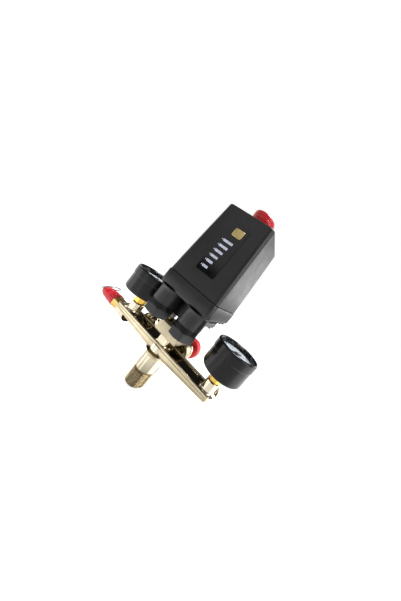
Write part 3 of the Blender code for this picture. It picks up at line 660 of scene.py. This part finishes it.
for label, sx in (("left", -1), ("right", 1)):
    at = (sx * GLAND_X, GLAND_Y, 0)
    n = 144
    a = 2 * pi * np.arange(n) / n
    rings = [(6.2, 77.9), (6.2, 76.8), (6.7, 76.3), (7.4, 76.2), (9.0, 76.2)]
    rings += hexrings(22.2, 76.2, 84.5, n, 0.8)
    rings += [(10.2, 84.5), (9.7, 84.3), (9.7, 77.9)]
    nut = sweep(f"nut_{label}", rings, NYLON, n, base=at, closed=True, nodes=[f"gland_nut_{label}"], slot="nylon_black", smooth=28)
    sweep(
        f"seal_{label}",
        soften([(7.3, 78.3), (7.3, 87), (4.6, 87), (4.6, 80.5), (5.6, 78.3)], 0.4, 3, True),
        RUBBER,
        64,
        base=at,
        closed=True,
        nodes=[f"gland_seal_{label}"],
        slot="rubber_black",
    )

# ------------------------------------------------------------------ hub, flange and screws
# The hub flange and column use the zinc darkened as painted shade.
made = [
    rounded_box("hub_block", (-15, 15), (-11.5, 11.5), (61.0, 73.4), HUB_CAST, 1.0, 4),
    rounded_box("hub_flange", (-22, 22), (-6.4, 26), (91.8, 97.2), ZINC_CAST_PAINTED_SHADE, 1.4, 4),
    sweep("hub_column", soften([(9.6, 72.8), (9.0, 73.4), (8.4, 75.0), (8.4, 89.5), (9.4, 91.2), (12.5, 92.4)], 0.9, 5), ZINC_CAST_PAINTED_SHADE, 80, base=(0, 3.0, 0)),
    sweep("hub_lip", soften([(8.1, 66.0), (8.1, 61.4), (8.6, 60.9), (10.3, 60.9), (10.6, 61.2), (10.6, 62.0)], 0.25, 3), POLISH, 80),
]
for i, (x, z) in enumerate(((-15, 67.2), (15, 67.2))):
    s = 1 if x > 0 else -1
    made.append(sweep(f"port_plug_{i}", hexrings(7.0, 0.0, 1.4, 48, 0.25, True) + [(0, 1.4)], BRASS, 48, "x" if s > 0 else "-x", (x - s * 0.8, 0, z)))
merge("hub_body", made, nodes=["hub"])
for i, (x, y) in enumerate(SCREW_AT, 1):
    n = 72
    rings = [(0, 89.1), (2.6, 89.1), (2.8, 88.75)] + [(r, h) for r, h in hexrings(7.2, 88.6, 91.5, n, 0.35)] + [(2.0, 91.5)]
    rings += thread_rings(1.95, 0.25, 0.7, 91.8, 103.0, n, 6) + [(0, 103.0)]
    sweep(f"screw_{i}", rings, ZINC, n, base=(x, y, 0), nodes=[f"flange_screw_{i}"], slot="zinc_steel", smooth=30)

# ------------------------------------------------------------------ knob
profile = [
    (0, 214.3), (5.6, 214.3), (8.2, 214.6), (10.6, 214.4), (11.7, 213.9), (12.2, 213.1), (12.2, 211.9), (11.9, 211.2),
    (11.35, 210.9), (11.3, 210.4), (11.9, 210.1), (12.2, 209.6), (12.2, 208.6), (11.8, 207.7), (11.1, 206.8), (10.2, 205.4),
    (9.5, 203.8), (9.1, 202.4), (8.9, 201.0), (8.9, 189.4), (8.5, 189.0), (3.4, 189.0), (3.3, 200.9), (0, 201.0),
]
n = 96
rings = []
for r, h in soften(profile, 0.35, 3):
    rings.append((r, h))
sweep("pull_knob", rings, RED, n, body="knob", nodes=["on_off_knob"], slot="red_plastic", smooth=40)

# ------------------------------------------------------------------ unloader valve
n = 72
rings = [(1.35, 70.0), (2.3, 67.6), (2.4, 73.6)]
rings += hexrings(7.4, 73.7, 76.5, n, 0.35)
body_a = sweep("valve_nut", rings + [(1.35, 76.5)], BRASS, n, base=PIN, closed=True)
# The valve ball's near-white colour stands in for a highlight.
ball = [(1.4, 76.4), (2.2, 76.5), (2.2, 76.9)] + [(3.55 * cos(t), 79.2 + 2.7 * sin(t)) for t in np.linspace(-0.95, 0.98, 14)] + [(1.9, 81.6), (1.9, 83.4), (1.6, 83.6), (1.35, 83.6)]
body_b = sweep("valve_ball", ball, BALL_PAINTED_HIGHLIGHT, n, base=PIN)
merge("unloader_valve", [body_a, body_b], nodes=["unloader_body"])
sweep("unloader_rod", soften([(0, 73.5), (0.95, 73.5), (0.95, 121.5), (0.6, 121.7), (0, 121.7)], 0.15, 2), BRASS, 32, base=PIN, body="unloader_pin", nodes=["unloader_pin"], slot="brass")

# ------------------------------------------------------------------ manifold bar
def bar_section(x):
    t = min(1.0, max(0.0, (abs(x) - 12) / (BAR_HALF - 12)))
    bottom = BAR_BOTTOM + (BAR_END - BAR_BOTTOM) * t
    end = max(0.0, abs(x) - (BAR_HALF - 3.0)) / 3.0
    pull = 1.6 * (1 - sqrt(max(0.0, 1 - end * end)))
    w = BAR_Y - pull
    top = BAR_TOP - pull * 0.35
    bottom += pull * 0.5
    deck = BAR_TOP - CHANNEL
    pts = []

    def arc(cy, cz, ry, rz, a0, a1, seg):
        for i in range(seg + 1):
            a = radians(a0 + (a1 - a0) * i / seg)
            pts.append((cy + ry * cos(a), cz + rz * sin(a)))

    arc(-w + 2.2, bottom + 2.0, 2.0, 2.0, 270, 180, 5)
    for dy, z in ((0.0, bottom + 2.6), (0.3, bottom + 2.9), (0.3, bottom + 3.3), (0.0, bottom + 3.6), (0.0, top - 3.0), (0.35, top - 2.7), (0.35, top - 2.2), (0.0, top - 1.9)):
        pts.append((-w + dy, z))
    arc(-w + 0.7, top - 0.7, 0.7, 0.7, 180, 90, 4)
    pts.append((-w + 1.5, top))
    pts.append((-w + 1.75, top - 0.25))
    pts.append((-w + 1.95, deck + 0.3))
    pts.append((-w + 2.3, deck))
    for y in np.linspace(-w + 3.2, w - 3.6, 5):
        pts.append((y, deck))
    pts.append((w - 2.7, deck))
    pts.append((w - 2.3, deck + 0.3))
    pts.append((w - 2.1, top - 0.3))
    pts.append((w - 1.8, top))
    arc(w - 0.7, top - 0.7, 0.7, 0.7, 90, 0, 4)
    arc(w - 2.2, bottom + 2.0, 2.0, 2.0, 0, -90, 5)
    return [(x, y, z) for y, z in pts]


xs = sorted(set([-BAR_HALF + d for d in (0, 0.4, 0.9, 1.5, 2.2, 3.0)] + [BAR_HALF - d for d in (0, 0.4, 0.9, 1.5, 2.2, 3.0)] + list(np.linspace(-60, 60, 25))))
sections = [bar_section(x) for x in xs]
n = len(sections[0])
# Faces 20 to 28 of each section, the channel along the top of the bar, take the milled nickel darkened as a painted
# reflection.
kinds = []
for s in range(len(xs) - 1):
    for i in range(n):
        kinds.append(1 if 20 <= i <= 28 else 0)
kinds += [0, 0]
bar = loft("bar", sections, [CAST, MILLED_PAINTED_REFLECTION], caps=True, face_mat=kinds, smooth=35)
made = [bar]
# stud with pipe thread
n = 120
rings = [(0, 48.6), (4.6, 48.6), (5.0, 48.2), (5.0, 1.2), (5.6, 0.3), (6.2, 0.0), (8.9, 0.0), (9.4, 0.15), (9.7, 0.6)]
rings += thread_rings(10.9, 1.15, 1.814, 1.0, 17.9, n, 10)
rings += [(9.9, 18.2), (9.8, 18.9), (10.1, 19.3), (10.9, 20.1), (11.1, 20.6)]
stud_thread = sweep("stud_thread", rings, STUD_THREAD, n, smooth=30)
rings = [(10.9, 20.1), (11.1, 20.6), (11.1, 38.0), (11.2, 48.9), (10.95, 49.45), (10.4, 49.8), (7.5, 49.85)]
stud_plain = sweep("stud_plain", rings, POLISH, n, smooth=35)
made += [stud_thread, stud_plain]
# cast shoulders where the stud meets the bar
made.append(sweep("stud_shoulder", [(11.15, 36.5), (11.25, 37.6), (11.6, 39.2), (12.3, 40.4), (13.4, 41.2), (14.2, 41.6)], CAST, n))
boss = soften([(10.6, 49.9), (10.2, 50.15), (9.2, 50.6), (8.4, 51.3), (7.95, 52.3), (7.8, 53.6), (7.8, 60.4)], 0.5, 3)
rings = boss + thread_rings(7.8, 0.5, 1.337, 60.6, 65.4, n, 8) + [(7.2, 66.0), (3.4, 66.0), (3.0, 65.6), (3.0, 50)]
made.append(sweep("upper_boss", rings, POLISH, n, smooth=35))
made.append(sweep("upper_hex", [(7.9, 52.4)] + hexrings(18.6, 52.4, 60.6, n, 0.7) + [(7.9, 60.6)], POLISH, n, smooth=28))
for label, gx in GAUGES.items():
    prof = soften([(10.2, 49.9), (9.6, 50.2), (8.4, 50.7), (7.6, 51.5), (7.2, 52.8), (7.1, 54.5), (7.1, 61.3), (6.5, 62.0), (5.4, 62.0), (4.9, 61.5), (4.9, 53.0)], 0.35, 3)
    made.append(sweep(f"gauge_boss_{label}", prof, POLISH, 96, base=(gx, 0, 0), smooth=35))
prof = soften([(9.0, 56.0), (8.5, 60.0), (8.3, 62.0), (8.3, 69.4), (7.7, 70.0), (5.3, 70.0), (4.95, 69.6), (4.95, 61.5)], 0.4, 3)
made.append(sweep("relief_boss", prof, POLISH, 96, "-x", (0, 0, RELIEF[2] + 0.2), smooth=35))
prof = soften([(5.6, 58.0), (5.0, 62.0), (5.0, 69.9), (4.5, 70.4), (3.6, 70.4), (3.4, 70.1), (3.4, 66.5)], 0.3, 3)
made.append(sweep("end_boss", prof, POLISH, 72, "x", (0, 0, 46.8), smooth=35))
prof = soften([(14.0, 9.4), (13.0, 9.9), (12.3, 10.8), (12.0, 12.2), (12.0, 20.9), (11.4, 22.0), (9.6, 22.0), (9.2, 21.6), (9.2, 19.4), (5.2, 19.2)], 0.4, 4)
made.append(sweep("reg_collar", prof, CAST, 120, "y", REG, smooth=35))
for label, (ox, oz), r0, y0, y1 in (("right", (64.0, 48.0), 8.0, 14.0, 30.0), ("left", (-40.0, 49.0), 8.6, 15.5, 32.0)):
    n = 96
    rings = soften([(r0 + 1.6, 9.2), (r0 + 0.6, 10.0), (r0, 11.4), (r0, y0 - 0.6), (r0 - 0.6, y0), (6.6, y0 + 0.3), (5.9, y0 + 0.8)], 0.3, 3)
    rings += thread_rings(6.5, 0.55, 1.337, y0 + 1.0, y1 - 0.6, n, 8)
    rings += [(5.7, y1 - 0.2), (5.4, y1), (4.6, y1), (4.2, y1 - 0.4), (4.2, 11.4), (1.6, 11.2), (1.5, 6.0), (0, 6.0)]
    made.append(sweep(f"outlet_{label}", rings, POLISH, n, "y", (ox, 0, oz), smooth=35))
merge("manifold_casting", made, nodes=["manifold_body"])

n = 48
rings = [(0, 68.6), (1.4, 68.6)] + [(hexr(3.2, n), 68.7), (hexr(3.2, n), 70.0), (hexr(3.5, n), 70.2), (2.7, 70.25), (3.1, 69.9), (3.1, 66.4), (0, 66.4)]
sweep("plug", rings, BRASS, n, "x", (0, 0, 47.0), nodes=["end_plug"], slot="brass", smooth=30)

# ------------------------------------------------------------------ regulator
prof = [(7.2, 23.4), (10.8, 23.4), (11.6, 23.9), (11.6, 26.6), (11.0, 27.2), (10.4, 27.9), (9.6, 28.6), (9.2, 29.4), (9.2, 35.4), (8.7, 36.0), (5.9, 36.0), (5.4, 36.4), (5.4, 40.0), (5.0, 40.4), (3.3, 40.4), (3.3, 34.2), (7.2, 34.2)]
sweep("bonnet", soften(prof, 0.35, 3, True), POLISH, 120, "y", REG, closed=True, nodes=["regulator_bonnet"], slot="nickel_cast", smooth=35)
n = 240
a = 2 * pi * np.arange(n) / n
flute = np.clip(np.cos(a * 30) * 1.6, -1, 1)
rings = []
for r, h in soften([(5.8, 41.0), (5.8, 36.9), (6.1, 36.5), (11.9, 36.5), (12.7, 36.9), (13.0, 37.7), (13.0, 44.9), (12.4, 46.1), (11.4, 46.5), (9.6, 46.5), (9.0, 45.9), (5.4, 45.9), (4.8, 46.4), (3.7, 46.4), (3.3, 46.0), (3.3, 41.0)], 0.35, 3, True):
    rings.append((r - 0.42 * (1 - flute) * 0.5, h) if r > 11.7 else (r, h))
sweep("regulator_handwheel", rings, RED, n, "y", REG, closed=True, body="regulator_handle", nodes=["regulator_knob"], slot="red_plastic", smooth=40)

# ------------------------------------------------------------------ safety valve
n = 144
rings = [(2.0, 61.4), (4.3, 61.4)] + thread_rings(4.6, 0.45, 1.337, 61.8, 69.8, n, 8) + [(4.4, 70.2), (5.6, 70.3)]
rings += hexrings(13.4, 70.3, 81.9, n, 0.6) + [(6.2, 82.0), (5.8, 82.1), (5.8, 86.2), (5.4, 86.6), (2.0, 86.6)]
sweep("valve_hex", rings, BRASS, n, "-x", RELIEF, closed=True, nodes=["relief_body"], slot="brass", smooth=28)
n = 160
a = 2 * pi * np.arange(n) / n
grip = np.clip(np.cos(a * 20) * 1.5, -1, 1)
prof = soften(
    [(6.1, 82.3), (7.2, 82.3), (7.6, 82.7), (7.6, 86.3), (7.3, 86.8), (7.0, 87.0), (7.0, 87.4), (7.15, 87.6), (7.15, 92.6), (6.8, 93.0), (6.55, 93.2), (6.55, 93.7),
     (6.75, 93.9), (6.65, 99.6), (6.4, 100.2), (5.75, 100.6), (5.65, 103.4), (5.4, 104.3), (4.9, 104.6), (2.2, 104.6), (1.9, 104.3), (1.9, 102.6),
     (4.5, 102.6), (4.6, 99.0), (5.4, 97.4), (6.1, 87.2)],
    0.25, 3, True,
)
rings = [(r - 0.28 * (1 - grip) * 0.5, h) if (r > 7.45 or (7.05 < r and 87.7 < h < 92.5)) else (r, h) for r, h in prof]
sweep("valve_cap", rings, RED_CAP, n, "-x", RELIEF, closed=True, nodes=["relief_cap"], slot="red_plastic", smooth=40)
prof = [(0, 86.9), (3.2, 86.9), (4.6, 87.4), (4.6, 88.4), (1.5, 88.8), (1.5, 104.9), (1.7, 105.1), (1.9, 105.4), (1.9, 105.9), (1.65, 106.2), (1.65, 108.2), (1.9, 108.5), (1.9, 109.1), (1.3, 109.7), (0, 109.7)]
sweep("valve_stem", soften(prof, 0.2, 3), BRASS, 64, "-x", RELIEF, body="relief_stem", nodes=["relief_stem"], slot="brass", smooth=35)
R_RING, D = 8.55, (0.76, 0.65)
pts = []
turns, count = 2, 144
for i in range(count):
    t = i / count
    a = 2 * pi * turns * t
    off = 0.4 * cos(pi * t)
    along = R_RING * (1 - cos(a))
    pts.append((-107.2 + D[0] * along - D[1] * off, R_RING * sin(a), RELIEF[2] + D[1] * along + D[0] * off))
wire("split_ring", pts, 0.42, RING_WIRE, 10, closed=False, body="pull_ring", nodes=["pull_ring"], slot="zinc_steel", smooth=60)

# ------------------------------------------------------------------ springs
# Each coil is a round wire helix between its seats, built at rest.
COILS = (
    ("main_coil", "main_spring", 6.2, 0.9, 115.3, 147.6, 4.5, "z", (0, 15.5, 0), "pressure_lever_tilt", (0, 0, 1), (0, 0.0155, 0.1476), 0.960),
    ("regulator_coil", "regulator_spring", 5.0, 0.7, 23.5, 30.8, 2.5, "y", REG, "regulator_turn", (0, 1, 0), (0.0095, 0.0235, 0.0485), 0.575),
    ("poppet_coil", "poppet_spring", 2.6, 0.35, 10.75, 13.55, 2.5, "y", REG, "poppet_slide", (0, 1, 0), (0.0095, 0.01075, 0.0485), 0.62),
    ("relief_coil", "relief_spring", 3.6, 0.5, 88.7, 102.3, 3.5, "-x", RELIEF, "relief_pull", (1, 0, 0), (-0.1023, 0, 0.0435), 0.845),
)
for label, solid, coil_r, thick, lo, hi, turns, way, at, moved_by, toward, seat, keep in COILS:
    pts = []
    count = int(turns * 28)
    for i in range(count + 1):
        t = i / count
        rise = 0.5 - 0.5 * cos(pi * t) if turns < 3 else t
        h = lo + thick + (hi - lo - 2 * thick) * rise
        u, v = coil_r * cos(2 * pi * turns * t), coil_r * sin(2 * pi * turns * t)
        if way == "z":
            pts.append((at[0] + u, at[1] + v, h))
        elif way == "y":
            pts.append((at[0] + u, h, at[2] + v))
        else:
            pts.append((-h, at[1] + u, at[2] + v))
    coil = wire(label, pts, thick, WIRE, 12, closed=False, nodes=[solid], slot="spring_steel", smooth=60)
    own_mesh(coil)

# ------------------------------------------------------------------ gauges
for label, gx in GAUGES.items():
    at = (gx, 0, 0)
    prof = soften(
        [
            (4.6, 72.3), (19.6, 72.3), (20.9, 72.8), (21.6, 74.0), (21.7, 75.5), (21.75, 89.5), (21.75, 89.8), (22.2, 90.0), (22.4, 90.4),
            (22.4, 98.0), (22.1, 98.8), (21.4, 99.2), (20.6, 99.2), (20.0, 98.7), (19.5, 98.1), (18.9, 98.0), (18.9, 74.6), (4.6, 74.4),
        ],
        0.35, 3, True,
    )
    sweep(f"case_{label}", prof, GAUGE_BLACK, 144, base=at, closed=True, nodes=[f"gauge_case_{label}"], slot="nylon_black", smooth=35)
    dome = [(0, 96.2), (17.6, 96.2), (18.6, 96.2), (18.7, 96.4), (18.7, 97.5), (18.5, 97.7), (14.0, 97.75), (7.0, 97.8), (0, 97.8)]
    sweep(f"lens_{label}", dome, GLASS, 96, base=at, nodes=[f"gauge_lens_{label}"], slot="clear_lens", smooth=30)
    # dial with scale and numbers
    made = [sweep("dial_disc", soften([(0, 93.1), (18.4, 93.1), (18.6, 93.3), (18.6, 93.7), (18.4, 93.8), (0, 93.8)], 0.1, 2), DIAL, 96, base=at)]
    verts, faces = [], []

    def tick(angle, r0, r1, w):
        c, s = cos(angle), sin(angle)
        k = len(verts)
        for r, o in ((r0, -w), (r1, -w), (r1, w), (r0, w)):
            verts.append((gx + r * c - o * s, r * s + o * c, 93.87))
        for r, o in ((r0, -w), (r1, -w), (r1, w), (r0, w)):
            verts.append((gx + r * c - o * s, r * s + o * c, 93.78))
        faces.extend([(k, k + 1, k + 2, k + 3), (k, k + 4, k + 5, k + 1), (k + 1, k + 5, k + 6, k + 2), (k + 2, k + 6, k + 7, k + 3), (k + 3, k + 7, k + 4, k)])

    for i in range(61):
        ang = radians(225 - 270 * i / 60)
        big = i % 10 == 0
        mid = i % 5 == 0
        tick(ang, 13.6 if big else (14.6 if mid else 15.4), 16.8, 0.28 if big else (0.18 if mid else 0.1))
    for i in range(90):
        a0 = radians(225 - 3 * i)
        a1 = radians(225 - 3 * (i + 1))
        k = len(verts)
        for r, q in ((16.8, a0), (17.1, a0), (17.1, a1), (16.8, a1)):
            verts.append((gx + r * cos(q), r * sin(q), 93.86))
        faces.append((k, k + 1, k + 2, k + 3))
    made.append(make("dial_marks", verts, faces, PRINT_BLACK, smooth=10))
    for i in range(7):
        ang = radians(225 - 270 * i / 6)
        text = bpy.data.curves.new(f"n{i}", "FONT")
        text.body = str(i * 2)
        text.size = 2.9 * MM
        text.extrude = 0.04 * MM
        text.align_x = "CENTER"
        text.align_y = "CENTER"
        holder = bpy.data.objects.new(f"n{i}", text)
        SCENE.collection.objects.link(holder)
        bpy.context.view_layer.update()
        mesh = bpy.data.meshes.new_from_object(holder.evaluated_get(bpy.context.evaluated_depsgraph_get()))
        bpy.data.objects.remove(holder, do_unlink=True)
        mesh.transform(Matrix.Translation(Vector((gx + 10.9 * cos(ang), 10.9 * sin(ang), 93.83)) * MM))
        mesh.materials.clear()
        mesh.materials.append(PRINT_BLACK)
        o = bpy.data.objects.new(f"digit_{i}", mesh)
        SCENE.collection.objects.link(o)
        made.append(o)
    merge(f"dial_{label}", made, nodes=[f"gauge_dial_{label}"])
    # pointer with a counterweight tail
    ang = radians(225)
    outline = [(14.5, 0.1), (9.0, 0.34), (2.0, 0.6), (-2.0, 0.62), (-3.6, 0.9), (-5.6, 1.0), (-6.0, 0.8)]
    outline = outline + [(x, -w) for x, w in outline[::-1]]
    verts = []
    for z in (94.5, 95.1):
        for x, w in outline:
            verts.append((gx + x * cos(ang) - w * sin(ang), x * sin(ang) + w * cos(ang), z))
    n = len(outline)
    faces = [tuple(range(n))[::-1], tuple(range(n, 2 * n))] + [(i, (i + 1) % n, n + (i + 1) % n, n + i) for i in range(n)]
    needle = make("needle", verts, faces, PRINT_BLACK, smooth=20)
    capn = sweep("needle_cap", soften([(0, 86.4), (0.9, 86.4), (0.9, 94.2), (2.2, 94.2), (2.3, 95.1), (1.7, 95.5), (0, 95.6)], 0.2, 3), PRINT_BLACK, 48, base=at)
    merge(f"pointer_{label}_piece", [needle, capn], body=f"pointer_{label}", nodes=[f"gauge_pointer_{label}"])
    n = 96
    rings = [(1.5, 53.2), (4.2, 53.2)] + thread_rings(4.65, 0.45, 1.337, 53.6, 61.6, n, 8) + [(4.3, 62.2), (4.6, 62.3)]
    rings += hexrings(12.0, 62.3, 70.7, n, 0.5) + [(4.6, 70.8), (4.3, 71.2), (4.3, 83.4), (3.8, 84.2), (1.5, 84.2)]
    sweep(f"socket_{label}", rings, STEM, n, base=at, closed=True, nodes=[f"gauge_socket_{label}"], slot="brass", smooth=28)

# ------------------------------------------------------------------ floor, light and surroundings
bpy.ops.mesh.primitive_plane_add(size=40, location=(0, 0, -0.002))
floor = bpy.context.object
floor.name = "floor"
fm, ft, fs = new_material("floor_white")
fs.inputs["Roughness"].default_value = 0.9
fs.inputs["Specular IOR Level"].default_value = 0.0
fs.inputs["Emission Color"].default_value = (1, 1, 1, 1)
_lp = ft.nodes.new("ShaderNodeLightPath")
_xyz = node(ft, "ShaderNodeSeparateXYZ")
ft.links.new(coords(ft), _xyz.inputs[0])
_turn = node(ft, "ShaderNodeMath", operation="ARCTAN2")
ft.links.new(_xyz.outputs[1], _turn.inputs[0])
ft.links.new(_xyz.outputs[0], _turn.inputs[1])
_share = span(ft, _turn.outputs[0], 0.0, 1.0, -pi, pi)


def at_angle(deg):
    return (deg + 180.0) / 360.0


_flags = [(-180, 0.7), (-158, 0.45), (-149, 1.5), (-141, 1.5), (-134, 0.42), (-112, 0.4), (-108, 0.95), (-101, 0.95), (-95, 0.32), (-84, 0.16), (-62, 0.08), (-30, 0.06), (-18, 0.3), (-8, 1.5), (30, 1.3), (60, 0.35), (100, 0.12), (130, 0.45), (180, 0.7)]
_band = span(ft, ramp(ft, _share, [(at_angle(d), (v / 3, v / 3, v / 3)) for d, v in _flags]), 0.0, 3.0)
_look = node(ft, "ShaderNodeMix", data_type="FLOAT")
ft.links.new(_lp.outputs["Is Camera Ray"], _look.inputs[0])
ft.links.new(_band, _look.inputs[2])
_look.inputs[3].default_value = 0.9
ft.links.new(_look.outputs[0], fs.inputs["Emission Strength"])
fs.inputs["Base Color"].default_value = (0.55, 0.55, 0.55, 1)
floor.data.materials.append(fm)

world = bpy.data.worlds.new("studio")
SCENE.world = world
world.use_nodes = True
wt = world.node_tree
wt.nodes.clear()
out = wt.nodes.new("ShaderNodeOutputWorld")
tex = wt.nodes.new("ShaderNodeTexCoord")


def lobe(direction, start, end, value):
    """A soft bright or dark panel seen in one direction."""
    d = Vector(direction).normalized()
    dot = wt.nodes.new("ShaderNodeVectorMath")
    dot.operation = "DOT_PRODUCT"
    dot.inputs[1].default_value = d
    wt.links.new(tex.outputs["Generated"], dot.inputs[0])
    m = wt.nodes.new("ShaderNodeMapRange")
    m.interpolation_type = "SMOOTHSTEP"
    m.inputs["From Min"].default_value = start
    m.inputs["From Max"].default_value = end
    m.inputs["To Min"].default_value = 0
    m.inputs["To Max"].default_value = value
    wt.links.new(dot.outputs["Value"], m.inputs["Value"])
    return m.outputs["Result"]


def add(a, b, op="ADD"):
    m = wt.nodes.new("ShaderNodeMath")
    m.operation = op
    if isinstance(a, float):
        m.inputs[0].default_value = a
    else:
        wt.links.new(a, m.inputs[0])
    if isinstance(b, float):
        m.inputs[1].default_value = b
    else:
        wt.links.new(b, m.inputs[1])
    return m.outputs[0]


level = add(0.17, lobe((0.55, 0.83, 0.0), 0.80, 0.93, 2.6))
level = add(level, lobe((-0.95, 0.25, 0.12), 0.86, 0.96, 1.5))
level = add(level, lobe((0.95, -0.25, 0.25), 0.85, 0.95, 0.8))
level = add(level, lobe((-0.3, -0.92, 0.12), 0.75, 0.95, -0.13))
level = add(level, lobe((-0.2, 0.8, 0.55), 0.7, 0.92, -0.16))
level = add(level, 0.02, "MAXIMUM")
studio = wt.nodes.new("ShaderNodeBackground")
studio.inputs["Color"].default_value = (1.0, 1.0, 1.0, 1)
wt.links.new(level, studio.inputs["Strength"])
white = wt.nodes.new("ShaderNodeBackground")
white.inputs["Color"].default_value = (1, 1, 1, 1)
white.inputs["Strength"].default_value = 1.0
path = wt.nodes.new("ShaderNodeLightPath")
mix = wt.nodes.new("ShaderNodeMixShader")
wt.links.new(path.outputs["Is Camera Ray"], mix.inputs["Fac"])
wt.links.new(studio.outputs[0], mix.inputs[1])
wt.links.new(white.outputs[0], mix.inputs[2])
wt.links.new(mix.outputs[0], out.inputs["Surface"])


def area(name, location, target, size, energy, colour=(1, 1, 1)):
    data = bpy.data.lights.new(name, "AREA")
    data.shape = "SQUARE"
    data.size = size
    data.energy = energy
    data.color = colour
    lamp = bpy.data.objects.new(name, data)
    lamp.location = location
    lamp.rotation_euler = (Vector(target) - Vector(location)).to_track_quat("-Z", "Y").to_euler()
    lamp.visible_camera = False
    SCENE.collection.objects.link(lamp)
    return lamp


area("key_right", (0.75, -0.25, 0.45), (0, 0, 0.1), 0.55, 2.2)
area("fill_front", (-0.35, -0.8, 0.55), (0, 0, 0.08), 0.6, 0.7)
area("top_soft", (0.1, 0.05, 1.1), (0.02, 0, 0.1), 0.35, 14)
SCENE.view_settings.view_transform = "Standard"
